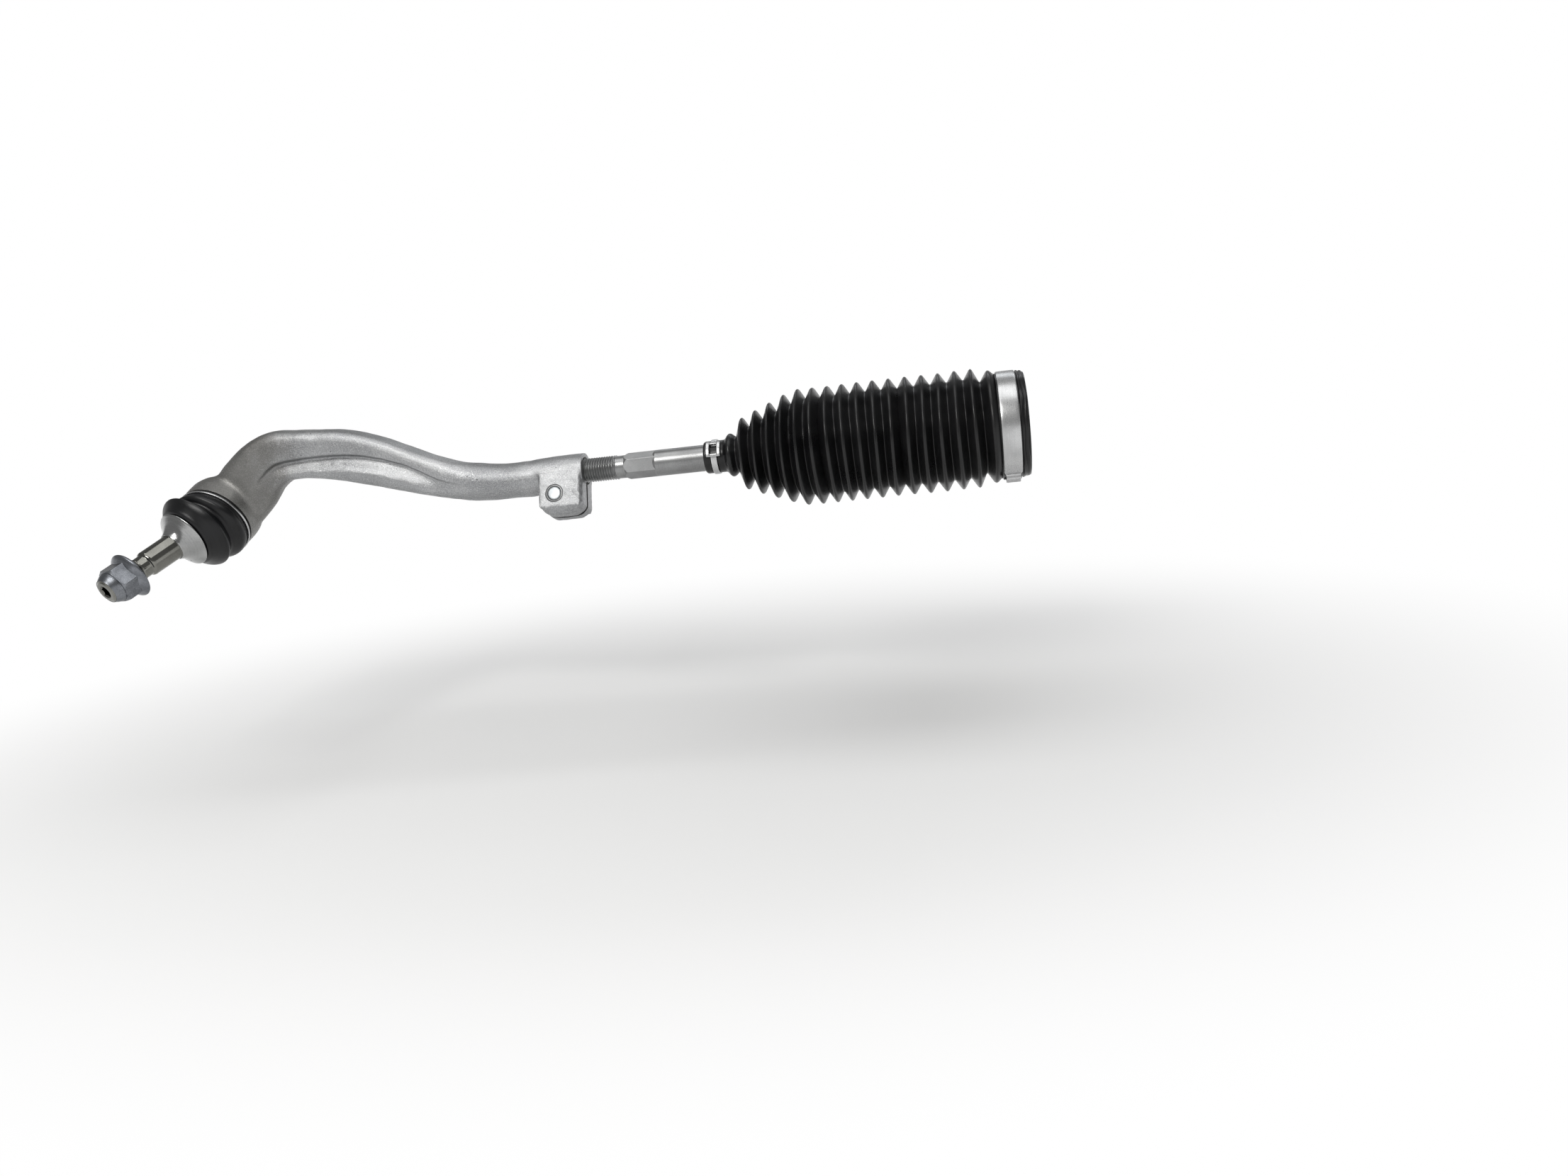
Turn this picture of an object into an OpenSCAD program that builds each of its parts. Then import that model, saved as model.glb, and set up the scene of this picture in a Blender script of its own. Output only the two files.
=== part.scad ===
// Steering tie rod: an outer ball joint on a curved cast arm, clamped on a threaded rod, with an inner ball
// joint and its bellows. Millimetres. +X runs along the rod towards the rack, +Z is up, and the origin is
// the shoulder of the rack stud.

/* [Rod] */
// Distance from the inner ball to the outer ball along the rod
centre_distance = 377.5; // [360:0.5:400]
// Diameter of the rod's plain shank
rod_d = 15; // [14.6:0.1:15.4]
// Diameter of the thread that enters the outer end
rod_thread_d = 14; // [13:0.1:14.2]
// Length of thread left showing
thread_showing = 19; // [14:0.5:30]
// Length of thread held in the outer end
thread_engaged = 46; // [30:1:48]
// Diameter of the relief behind the thread
relief_d = 13; // [12:0.1:13.6]
// Length of the relief behind the thread
relief_l = 5; // [3:0.5:8]
// Width across the flats of the wrench hexagon
hex_af = 13; // [12.5:0.1:14]
// Length of the wrench hexagon
hex_l = 18.5; // [12:0.5:22]
// Diameter of the rod's neck next to the inner ball
rod_neck_d = 12.6; // [12:0.1:13]
// Diameter of the inner ball
inner_ball_d = 27; // [26.4:0.1:27.4]
// Travel of the outer end along the thread, each way
adjust_travel = 9; // [3:0.5:10]

/* [Inner joint] */
// Distance from the stud's shoulder to the inner ball's centre
socket_depth = 34; // [30:0.5:38]
// Diameter of the socket's body
socket_d = 36; // [35:0.5:40]
// Diameter of the socket's shoulder
socket_shoulder_d = 26; // [22:0.5:30]
// Width across the socket's wrench flats
socket_flats = 32; // [30:0.5:34]
// Diameter of the stud that screws into the rack
rack_stud_d = 16; // [12:0.5:18]
// Length of the stud that screws into the rack
rack_stud_l = 17; // [12:1:22]
// Wall of the plastic seat behind the ball
seat_wall = 2.4; // [1.8:0.1:2.8]
// Thickness of the steel ring in front of the seat
seat_ring_t = 1.8; // [1.2:0.1:2.4]
// Thickness of the lip that is rolled over the ring
socket_lip_t = 3; // [2:0.1:3.6]

/* [Outer end] */
// Distance from the outer ball to the end of the clamp tube
outer_end_l = 228; // [210:1:245]
// Height of the outer ball's centre above the rod's axis
ball_rise = -1; // [-4:0.5:0]
// Distance of the outer ball's centre behind the rod's axis
ball_back = -3.8; // [-6:0.2:0]
// Outside diameter of the clamp tube
tube_d = 20.8; // [20:0.1:24]
// Height of the arm's bow above the rod's axis
arm_bow = 28.2; // [24:0.2:32]
// Height of the arm's section at the bow
arm_h = 30.5; // [26:0.5:34]
// Thickness of the arm's section
arm_t = 17.6; // [15:0.2:20]
// Depth of the long flute on each side of the arm
flute_depth = 3.6; // [1:0.1:4.5]
// Diameter of the joint housing
housing_d = 45; // [44:0.5:50]
// Length of the joint housing behind the ball's centre
housing_back = 15.6; // [15:0.2:19]
// Turn of the housing's axis about the vertical
housing_turn = -98.9; // [-110:0.5:-85]
// Dip of the housing's axis below the horizontal
housing_dip = 21; // [10:0.5:30]

/* [Pinch clamp] */
// Length of the ears along the tube
ear_l = 26; // [22:0.5:30]
// Reach of the ears from the rod's axis
ear_reach = 26.5; // [24:0.5:30]
// Width across both ears
ears_w = 20; // [16:0.5:24]
// Radius of the ears' lower corners
ear_corner_r = 8; // [4:0.5:9]
// Bevel along the ears' outer edges
ear_bevel = 3; // [1:0.1:4]
// Width of the slit between the ears
slit_w = 2.2; // [1:0.1:3]
// Lean of the ears towards the front
clamp_lean = 28; // [0:1:40]
// Diameter of the clamp bolt
bolt_d = 8; // [7:0.5:8.5]
// Distance of the bolt from the rod's axis
bolt_drop = 14.4; // [13.5:0.1:15]
// Wall of the threaded insert in the front ear
insert_wall = 0.9; // [0.6:0.1:1.2]
// Width across the flats of the bolt's head
bolt_head_af = 13; // [12:0.5:13]
// Height of the bolt's head
bolt_head_h = 5.3; // [4:0.1:7]
// Outside diameter of the washer
washer_d = 16; // [15:0.5:17]
// Thickness of the washer
washer_t = 1.6; // [1:0.1:2]

/* [Outer joint] */
// Diameter of the outer ball
outer_ball_d = 26; // [25.4:0.1:26.4]
// Diameter of the stud's neck next to the ball
stud_neck_d = 13; // [12:0.1:13.4]
// Diameter of the stud's plain shank
stud_d = 15; // [14.2:0.1:15.4]
// Distance from the ball's centre to the end of the shank
stud_shank_end = 57.5; // [55:0.5:60]
// Diameter of the relief between the shank and the thread
stud_relief_d = 12.6; // [12:0.1:13]
// Length of the relief between the shank and the thread
stud_relief_l = 5.5; // [3:0.1:7]
// Diameter of the stud's thread
stud_thread_d = 14; // [12:0.1:14]
// Distance from the ball's centre to the stud's tip
stud_end = 84.9; // [83:0.1:90]
// Width across the flats of the drive recess in the stud's tip
stud_socket_af = 6; // [5:0.5:7]
// Tilt of the stud from the housing's axis as it lies
stud_tilt = 14; // [0:0.1:16]
// Direction of that tilt about the housing's axis
stud_tilt_toward = -109.4; // [-180:0.1:180]
// Tilt that each of the two swings allows
swing = 18; // [12:0.5:18]
// Diameter of the dished collar's rim
collar_d = 34; // [33:0.2:36]
// Distance from the ball's centre to the collar's rim
collar_rim = 29.4; // [29:0.1:32]
// Height of the dished collar
collar_h = 9.2; // [8.6:0.1:11]
// Thickness of the dished collar
collar_wall = 1.8; // [1.2:0.1:2.2]

/* [Dust boot] */
// Outside diameter of the boot's lower fold
boot_d = 44.8; // [43:0.2:46]
// Diameter of the boot between its folds
boot_waist_d = 39; // [37:0.2:41]
// Wall of the boot
boot_wall = 1.5; // [1:0.1:1.8]
// Diameter of the housing's neck that the boot grips
boot_neck_d = 39.2; // [38:0.2:40]
// Length of the housing's neck that the boot grips
boot_neck_l = 7; // [6:0.1:8]

/* [Nut] */
// Distance from the ball's centre to the nut's seat
nut_seat = 66.8; // [65:0.2:68]
// Diameter of the nut's flange
nut_flange_d = 27.8; // [26:0.2:30]
// Width across the flats of the nut
nut_af = 19.5; // [19:0.5:22]
// Height of the nut up to its collar
nut_h = 12.8; // [12:0.1:15]
// Height of the nut's round collar
nut_collar_h = 4.8; // [4.2:0.1:6]

/* [Bellows] */
// Number of folds
folds = 18; // [12:1:18]
// Outside diameter of the full folds
gaiter_d = 67.4; // [64:0.2:72]
// Depth of a fold
fold_depth = 7; // [5:0.1:7.6]
// Growth in radius from one fold to the next at the small end
fold_growth = 3.3; // [2.5:0.1:3.5]
// Wall of the bellows
gaiter_wall = 1.3; // [1:0.1:1.5]
// Pitch of the folds at the small end
fold_pitch = 8; // [7.6:0.1:8.2]
// Distance from the stud's shoulder to the last fold
last_fold_x = 48.5; // [45:0.5:50]
// Distance from the stud's shoulder to the mouth of the bellows
mouth_x = 67.5; // [62:0.5:72]
// Inside diameter of the mouth
mouth_d = 54; // [52:0.2:56]
// Length of the small cuff
cuff_l = 14; // [11:0.5:15]
// Outside diameter of the small cuff
cuff_d = 18.6; // [17.6:0.1:19.6]
// Width of the mouth's band clamp
large_band_w = 9.7; // [7:0.1:10]
// Width of the cuff's ear clamp
small_band_w = 3.4; // [3:0.1:6]
// Thickness of both bands
band_t = 0.9; // [0.6:0.1:1.2]

/* [Hidden] */
$fn = 64;
thread_gap = 0.05;
ball_gap = 0.12;
seat_gap = 0.05;
band_gap = 0.1;
washer_gap = 0.04;
cut = 1;

// Places along the rod's axis
inner_x = -socket_depth;
outer_x = inner_x - centre_distance;
tube_x = outer_x + outer_end_l;
thread_x1 = tube_x + thread_showing;
thread_x0 = tube_x - thread_engaged;
relief_x1 = thread_x1 + relief_l;
hex_x1 = relief_x1 + hex_l;
bore_x0 = thread_x0 - adjust_travel - 2;
rod_cone_x0 = inner_x - 2.8 * rod_d;
rod_cone_x1 = inner_x - 1.867 * rod_d;
ear_x = tube_x - ear_l;
bolt_x = ear_x + ear_l * 0.38;
tube_x0 = ear_x - 16;
arm_l = ear_x - outer_x;
slit_x = ear_x - 6;

// The widest tilt, where both swings are at their limit, and the cone that a neck sweeps there
cone_angle = acos(cos(swing) * cos(swing));
lip_clearance = 0.35;
function swept_r(a, neck_d) = a * tan(cone_angle) + neck_d / 2 / cos(cone_angle) + lip_clearance;

// Inner joint, along an axis that points from the ball to the rod
inner_ball_r = inner_ball_d / 2;
inner_cavity_r = inner_ball_r + seat_wall + 0.3;
inner_cavity_a0 = -inner_ball_r - seat_wall;
inner_seat_a1 = 6.2;
inner_ring_a1 = inner_seat_a1 + seat_ring_t;
inner_lip_a1 = inner_ring_a1 + socket_lip_t;
ring_clearance = 0.4;
function circle_at(ball_r, a) = sqrt(ball_r * ball_r - a * a);

// Outer joint, along the housing's axis
outer_ball_r = outer_ball_d / 2;
outer_cavity_r = outer_ball_r + 2.3;
outer_seat_a1 = 8.4;
housing_a1 = outer_seat_a1 + 5.6;
neck_a0 = housing_a1 - boot_neck_l;
cover_t = 1.6;
cover_d = 2 * outer_cavity_r + 1.8;
cover_a1 = -outer_ball_r - 0.4;
recess_reach = 16;

// Stud parts, along the stud's axis
collar_bore_a0 = collar_rim + 3.2;
collar_top = collar_rim + collar_h;
collar_seat_r = stud_d / 2 + 0.4;
stud_grip_r = stud_d / 2 + 1;
boot_top_r = stud_grip_r + boot_wall + 0.2;
stud_ring_a = collar_rim + 1.2;
stud_thread_a0 = stud_shank_end + stud_relief_l;
nut_hex_a0 = nut_seat + 3;
nut_collar_a0 = nut_seat + nut_h;
nut_end = nut_collar_a0 + nut_collar_h;
nylon_l = 3.8;
nylon_a0 = nut_collar_a0 + 1.4 - nylon_l;
nut_bore_r = stud_thread_d / 2 + thread_gap;

// Bellows
gaiter_r = gaiter_d / 2;
mouth_r = mouth_d / 2;
cuff_x1 = last_fold_x - fold_stretch(folds - 1);
cuff_x0 = cuff_x1 - cuff_l - 1;
cuff_r = cuff_d / 2;
cuff_bore_r = rod_d / 2 + 0.15;
small_band_x = cuff_x0 + 6.2;
large_band_x = last_fold_x + 9;
first_fold_r = 13.2;
second_fold_r = 21.5;
last_fold_drop = 1.9;
function fold_stretch(i) = fold_pitch * i + 0.0346 * i * i;
function fold_x(i) = cuff_x1 + fold_stretch(i);
function full_fold_r(i) = i == 0 ? first_fold_r : min(gaiter_r, second_fold_r + fold_growth * (i - 1));
function fold_r(i) = i == folds - 1 ? full_fold_r(i) - last_fold_drop : full_fold_r(i);
function valley_x(i) = (fold_x(i) + fold_x(i + 1)) / 2;
function valley_r(i) = max(min(fold_r(i), fold_r(i + 1)) - fold_depth, cuff_r + 0.6);

module at_inner() {
    translate([inner_x, 0, 0]) rotate([0, -90, 0]) children();
}

module at_outer() {
    translate([outer_x, ball_back, ball_rise]) rotate([0, 90 + housing_dip, housing_turn]) children();
}

module at_stud() {
    at_outer() rotate([0, 0, stud_tilt_toward]) rotate([0, stud_tilt, 0]) children();
}

// Local Z is the bolt's axis, from the slit towards the front ear
module at_bolt() {
    rotate([-clamp_lean, 0, 0]) translate([bolt_x, 0, -bolt_drop]) rotate([90, 0, 0]) children();
}

module ring(r0, r1, h) {
    rotate_extrude() translate([r0, 0]) square([r1 - r0, h]);
}

// Inner joint

module rack_joint_socket() {
    r = socket_d / 2;
    shoulder_r = socket_shoulder_d / 2;
    lip_r0 = swept_r(inner_ring_a1, rod_neck_d);
    lip_r1 = swept_r(inner_lip_a1, rod_neck_d);
    flats_a = -socket_depth + 3;
    color("#8d8f90") at_inner() {
        difference() {
            rotate_extrude() polygon([
                [0, -socket_depth], [shoulder_r, -socket_depth], [shoulder_r, flats_a - 1],
                [r - 1, flats_a + 2], [r, flats_a + 3], [r, inner_ring_a1 - 1],
                [r - 1.6, inner_lip_a1 - 1], [r - 3.2, inner_lip_a1], [lip_r1, inner_lip_a1],
                [lip_r0, inner_ring_a1], [inner_cavity_r, inner_ring_a1],
                [inner_cavity_r, inner_cavity_a0 + 3], [inner_cavity_r - 3, inner_cavity_a0],
                [0, inner_cavity_a0]]);
            for (side = [-1, 1])
                translate([side * (socket_flats / 2 + r / 2), 0, flats_a + 5])
                    cube([r, 2 * r, 12], center = true);
        }
        translate([0, 0, -socket_depth - rack_stud_l + 1]) cylinder(d = rack_stud_d, h = rack_stud_l - 1 + cut);
        translate([0, 0, -socket_depth - rack_stud_l])
            cylinder(d1 = rack_stud_d - 2, d2 = rack_stud_d, h = 1);
    }
}

module rack_ball_seat() {
    r = inner_cavity_r - seat_gap;
    a0 = inner_cavity_a0 + seat_gap;
    color("#e6e2d6") at_inner() difference() {
        rotate_extrude() polygon([[0, a0], [r - 3, a0], [r, a0 + 3], [r, inner_seat_a1], [0, inner_seat_a1]]);
        sphere(r = inner_ball_r + ball_gap);
    }
}

module rack_seat_ring() {
    color("#a7a9aa") at_inner() difference() {
        translate([0, 0, inner_seat_a1 + seat_gap])
            cylinder(r = inner_cavity_r - seat_gap, h = seat_ring_t - 2 * seat_gap);
        cylinder(r = circle_at(inner_ball_r, inner_seat_a1) + ring_clearance, h = inner_ring_a1 + cut);
    }
}

module tie_rod() {
    r = rod_d / 2;
    thread_r = rod_thread_d / 2 - thread_gap;
    relief_r = relief_d / 2;
    neck_r = rod_neck_d / 2;
    groove_r = r - 0.5;
    color("#9ea1a3") {
        translate([0, 0, 0]) rotate([0, 90, 0]) rotate_extrude() polygon([
            [0, thread_x0], [thread_r - 1.2, thread_x0], [thread_r, thread_x0 + 1.2],
            [thread_r, thread_x1 - 0.6], [relief_r, thread_x1], [relief_r, relief_x1], [0, relief_x1]]);
        intersection() {
            rotate([0, 90, 0]) rotate_extrude() polygon([
                [0, relief_x1 - 0.5], [relief_r, relief_x1 - 0.5], [relief_r, relief_x1],
                [r, relief_x1 + 2], [r, hex_x1 + 1], [0, hex_x1 + 1]]);
            translate([relief_x1 - 0.5, 0, 0]) rotate([0, 90, 0])
                rotate([0, 0, -12]) cylinder(r = hex_af / 2 / cos(30), h = hex_l + 1, $fn = 6);
        }
        rotate([0, 90, 0]) rotate_extrude() polygon([
            [0, hex_x1 - 1.5], [relief_r, hex_x1 - 1.5], [r, hex_x1], [r, small_band_x - 2.6],
            [groove_r, small_band_x - 2.1], [groove_r, small_band_x + 2.1], [r, small_band_x + 2.6],
            [r, rod_cone_x0], [neck_r, rod_cone_x1], [neck_r, inner_x], [0, inner_x]]);
        translate([inner_x, 0, 0]) sphere(r = inner_ball_r);
    }
}

// Bellows and its clamps

module gaiter() {
    crest = 1.1;
    root = 0.8;
    slant = 1.2 * gaiter_wall;
    band_r = mouth_r + gaiter_wall + 0.4;
    last = folds - 1;
    outside = [for (i = [0:last]) each concat(
        [[fold_r(i) - 0.3, fold_x(i) - crest], [fold_r(i), fold_x(i)], [fold_r(i) - 0.3, fold_x(i) + crest]],
        i < last ? [[valley_r(i), valley_x(i) - root], [valley_r(i), valley_x(i) + root]] : [])];
    inside = [for (i = [last:-1:0]) each concat(
        [[fold_r(i) - gaiter_wall - 0.5, fold_x(i)]],
        i > 0 ? [[valley_r(i - 1) - gaiter_wall, valley_x(i - 1) + root + slant * 0.6],
            [valley_r(i - 1) - gaiter_wall, valley_x(i - 1) - root - slant * 0.6]] : [])];
    color("#161616") rotate([0, 90, 0]) rotate_extrude() polygon(concat(
        [[cuff_bore_r, cuff_x0], [cuff_r - 0.6, cuff_x0], [cuff_r, cuff_x0 + 0.8],
            [cuff_r, small_band_x - small_band_w / 2 - 0.3],
            [cuff_r - 0.5, small_band_x - small_band_w / 2 - 0.3],
            [cuff_r - 0.5, small_band_x + small_band_w / 2 + 0.3],
            [cuff_r, small_band_x + small_band_w / 2 + 0.3], [cuff_r, cuff_x1 - 3.4]],
        outside,
        [[band_r, large_band_x - large_band_w / 2 - 0.8], [band_r, large_band_x + large_band_w / 2 + 0.6],
            [band_r + 1.6, large_band_x + large_band_w / 2 + 1.4], [band_r + 1.6, mouth_x - 0.8],
            [band_r + 0.8, mouth_x], [mouth_r, mouth_x], [mouth_r, large_band_x - large_band_w / 2]],
        inside,
        [[cuff_bore_r + 1.2, cuff_x1 - 3.4], [cuff_bore_r, cuff_x1 - 5]]));
}

// A closed band with a pinched ear that stands proud of it
module ear_band(r, w, ear_w, ear_h, ear_span) {
    ring(r, r + band_t, w);
    difference() {
        translate([r - 0.2, -ear_span / 2, (w - ear_w) / 2]) cube([ear_h + 0.2, ear_span, ear_w]);
        translate([r - cut, -ear_span / 2 + band_t, (w - ear_w) / 2 - cut])
            cube([ear_h - band_t + cut, ear_span - 2 * band_t, ear_w + 2 * cut]);
        translate([0, 0, -cut - ear_w]) cylinder(r = r + 0.6 * band_t, h = w + 2 * ear_w + 2 * cut);
    }
}

module gaiter_large_clamp() {
    r = mouth_r + gaiter_wall + 0.4 + band_gap;
    color("#c9cccd") translate([large_band_x - large_band_w / 2, 0, 0]) rotate([0, 90, 0])
        rotate([0, 0, -30]) ear_band(r, large_band_w, large_band_w - 2, 3.2, 7);
}

module gaiter_small_clamp() {
    r = cuff_r - 0.5 + band_gap;
    color("#c9cccd") translate([small_band_x - small_band_w / 2, 0, 0]) rotate([0, 90, 0])
        rotate([0, 0, -128]) ear_band(r, small_band_w, 8, 2.4, 6);
}

// Outer end

// Stations of the arm: share of its length, height, half height, half thickness, flute depth
arm_stations = [
    [0.030, 0, 0.56 * arm_h, 0.56 * arm_t, 0],
    [0.089, 0.396 * arm_bow, 0.611 * arm_h, 0.56 * arm_t, 0],
    [0.153, 0.791 * arm_bow, 0.547 * arm_h, 0.55 * arm_t, 0.3 * flute_depth],
    [0.213, 0.985 * arm_bow, 0.514 * arm_h, 0.52 * arm_t, 0.7 * flute_depth],
    [0.277, arm_bow, 0.468 * arm_h, arm_t / 2, flute_depth],
    [0.342, 0.958 * arm_bow, 0.473 * arm_h, arm_t / 2, flute_depth],
    [0.421, 0.869 * arm_bow, 0.496 * arm_h, arm_t / 2, flute_depth],
    [0.505, 0.696 * arm_bow, 0.484 * arm_h, arm_t / 2, flute_depth],
    [0.584, 0.484 * arm_bow, 0.442 * arm_h, arm_t / 2, 0.9 * flute_depth],
    [0.663, 0.270 * arm_bow, 0.398 * arm_h, 0.52 * arm_t, 0.6 * flute_depth],
    [0.748, 0.086 * arm_bow, 0.370 * arm_h, 0.55 * arm_t, 0.2 * flute_depth],
    [0.822, -0.006 * tube_d, 0.538 * tube_d, 0.51 * tube_d, 0],
    [0.891, -0.050 * tube_d, 0.502 * tube_d, 0.5 * tube_d, 0],
    [0.960, -0.058 * tube_d, 0.510 * tube_d, 0.5 * tube_d, 0],
    [1.010, -0.029 * tube_d, 0.475 * tube_d, 0.47 * tube_d, 0],
    [1.055, 0, 0.440 * tube_d, 0.44 * tube_d, 0]];
flute_drop = 2.4;
flute_half = 6.6;
side_steps = 14;

function station(k) = arm_stations[max(0, min(len(arm_stations) - 1, k))];
function curve_between(a, b, c, d, t) =
    0.5 * ((2 * b) + (c - a) * t + (2 * a - 5 * b + 4 * c - d) * t * t + (3 * b - a - 3 * c + d) * t * t * t);
function arm_at(s) = let (k = floor(s))
    curve_between(station(k - 1), station(k), station(k + 1), station(k + 2), s - k);
function flute_cut(z, depth) = abs(z + flute_drop) < flute_half
    ? depth * (0.5 + 0.5 * cos(180 * (z + flute_drop) / flute_half)) : 0;
function arm_side(q, m) = let (
        z = q[2] * sin(-90 + 180 * m / side_steps),
        squareness = 2 + 1.6 * min(1, q[4] / flute_depth),
        y = q[3] * pow(max(0, 1 - pow(abs(z) / q[2], squareness)), 1 / squareness))
    [y - flute_cut(z, q[4]), z];
function arm_section(q) = concat(
    [for (m = [0:side_steps]) arm_side(q, m)],
    [for (m = [side_steps - 1:-1:1]) let (p = arm_side(q, m)) [-p[0], p[1]]]);
function arm_ring(s) = let (
        q = arm_at(s), ahead = arm_at(s + 0.05), behind = arm_at(s - 0.05),
        slope = atan2(ahead[1] - behind[1], arm_l * (ahead[0] - behind[0])))
    [for (p = arm_section(q)) [outer_x + arm_l * q[0] - p[1] * sin(slope), p[0], q[1] + p[1] * cos(slope)]];

module arm() {
    steps = [for (s = [0.1:0.5:len(arm_stations) - 1.1]) s];
    rings = [for (s = steps) each arm_ring(s)];
    n = 2 * side_steps;
    last = len(steps) - 1;
    sides = [for (i = [0:last - 1]) for (j = [0:n - 1]) let (
            a = i * n + j, b = i * n + (j + 1) % n, c = b + n, d = a + n)
        each [[a, c, b], [a, d, c]]];
    ends = [[for (j = [0:n - 1]) j], [for (j = [n - 1:-1:0]) last * n + j]];
    polyhedron(points = rings, faces = concat(sides, ends), convexity = 6);
}

// A block with two rounded lower corners, drawn from z = 0 up, its lower edge at -reach along X
module ear_outline() {
    translate([-ear_reach + ear_corner_r, 0]) square([ear_reach - ear_corner_r, ear_l]);
    translate([-ear_reach, ear_corner_r]) square([ear_corner_r + cut, ear_l - 2 * ear_corner_r]);
    for (side = [ear_corner_r, ear_l - ear_corner_r])
        translate([-ear_reach + ear_corner_r, side]) circle(r = ear_corner_r);
}

// Both ears as one block: its side outline, beveled as seen from above and as seen along the rod
module ears() {
    w = ears_w / 2;
    rotate([-clamp_lean, 0, 0]) intersection() {
        translate([ear_x, w, 0]) rotate([90, 0, 0])
            linear_extrude(ears_w) rotate([0, 0, 90]) mirror([0, 1]) ear_outline();
        translate([0, 0, -ear_reach - cut]) linear_extrude(ear_reach + 2 * cut) polygon([
            [ear_x - cut, -w], [tube_x - ear_bevel, -w], [tube_x, ear_bevel - w],
            [tube_x, w - ear_bevel], [tube_x - ear_bevel, w], [ear_x - cut, w]]);
        translate([ear_x - cut, 0, 0]) rotate([90, 0, 90]) linear_extrude(ear_l + 2 * cut) polygon([
            [-w, cut], [-w, ear_bevel - ear_reach], [ear_bevel - w, -ear_reach],
            [w - ear_bevel, -ear_reach], [w, ear_bevel - ear_reach], [w, cut]]);
    }
}

module outer_end() {
    housing_r = housing_d / 2;
    neck_r = boot_neck_d / 2;
    recess_r = cover_d / 2;
    back_r = recess_r + 0.9;
    tube_r = tube_d / 2;
    color("#a9abaa") difference() {
        union() {
            at_outer() rotate_extrude() polygon([
                [0, -housing_back], [back_r, -housing_back], [housing_r - 4.6, -housing_back + 1.2],
                [housing_r - 3.6, -12], [housing_r - 1.9, -9], [housing_r - 0.6, -6.2], [housing_r, -3],
                [housing_r, 3], [housing_r - 0.3, neck_a0 - 0.8], [housing_r - 1, neck_a0],
                [neck_r, neck_a0], [neck_r, housing_a1 - 1.4],
                [neck_r + 0.5, housing_a1 - 1], [neck_r, housing_a1], [0, housing_a1]]);
            arm();
            rotate([0, 90, 0]) rotate_extrude() polygon([
                [0, tube_x0], [tube_r - 1.8, tube_x0], [tube_r, ear_x + 5], [tube_r, tube_x], [0, tube_x]]);
            ears();
        }
        translate([bore_x0, 0, 0]) rotate([0, 90, 0]) cylinder(d = rod_thread_d, h = tube_x + cut - bore_x0);
        rotate([-clamp_lean, 0, 0]) translate([slit_x, -slit_w / 2, -ear_reach - cut])
            cube([tube_x - slit_x + cut, slit_w, ear_reach + cut]);
        at_bolt() {
            cylinder(r = bolt_d / 2 + insert_wall, h = ears_w);
            translate([0, 0, -ears_w]) cylinder(r = bolt_d / 2 + 0.4, h = ears_w + cut);
        }
        at_outer() {
            translate([0, 0, cover_a1]) cylinder(r = outer_cavity_r, h = outer_seat_a1 - cover_a1);
            translate([0, 0, cover_a1 - recess_reach]) cylinder(r = recess_r, h = recess_reach + 0.01);
            translate([0, 0, outer_seat_a1 - 0.01]) cylinder(r1 = swept_r(outer_seat_a1, stud_neck_d),
                r2 = swept_r(housing_a1 + cut, stud_neck_d), h = housing_a1 + cut - outer_seat_a1 + 0.01);
        }
    }
}

module ear_thread_insert() {
    color("#c4c6c6") at_bolt() difference() {
        translate([0, 0, slit_w / 2]) cylinder(r = bolt_d / 2 + insert_wall, h = (ears_w - slit_w) / 2);
        cylinder(r = bolt_d / 2, h = ears_w);
    }
}

module clamp_bolt() {
    head_a = -ears_w / 2 - washer_t - washer_gap;
    color("#c6c8c9") at_bolt() {
        translate([0, 0, head_a]) cylinder(r = bolt_d / 2 - thread_gap, h = ears_w / 2 - head_a - 0.6);
        translate([0, 0, ears_w / 2 - 0.6])
            cylinder(r1 = bolt_d / 2 - thread_gap, r2 = bolt_d / 2 - 0.7, h = 0.7);
        intersection() {
            translate([0, 0, head_a - bolt_head_h])
                cylinder(r = bolt_head_af / 2 / cos(30), h = bolt_head_h, $fn = 6);
            translate([0, 0, head_a - bolt_head_h])
                cylinder(r1 = bolt_head_af / 2 - 0.3, r2 = bolt_head_af / 2 + 9, h = bolt_head_h + 3);
        }
    }
}

module clamp_washer() {
    color("#c6c8c9") at_bolt() translate([0, 0, -ears_w / 2 - washer_t - washer_gap / 2]) difference() {
        cylinder(d = washer_d, h = washer_t);
        translate([0, 0, -cut]) cylinder(r = bolt_d / 2 + 0.2, h = washer_t + 2 * cut);
    }
}

module outer_ball_seat() {
    color("#e6e2d6") at_outer() difference() {
        translate([0, 0, cover_a1 + seat_gap])
            cylinder(r = outer_cavity_r - seat_gap, h = outer_seat_a1 - cover_a1 - 2 * seat_gap);
        sphere(r = outer_ball_r + ball_gap);
        translate([0, 0, outer_seat_a1 - 3]) cylinder(r1 = swept_r(outer_seat_a1 - 3, stud_neck_d),
            r2 = swept_r(outer_seat_a1 + cut, stud_neck_d), h = 3 + cut);
    }
}

module outer_end_cover() {
    color("#b9bbbb") at_outer() translate([0, 0, cover_a1 - cover_t]) difference() {
        cylinder(d = cover_d, h = cover_t);
        translate([0, 0, -cut]) cylinder(d = cover_d * 0.55, h = cut + 0.5);
    }
}

module boot_housing_ring() {
    r = boot_d / 2 - 0.75;
    color("#d2d4d5") at_outer() translate([0, 0, neck_a0 + 1.6]) ring(r, r + 0.7, 2.2);
}

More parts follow.
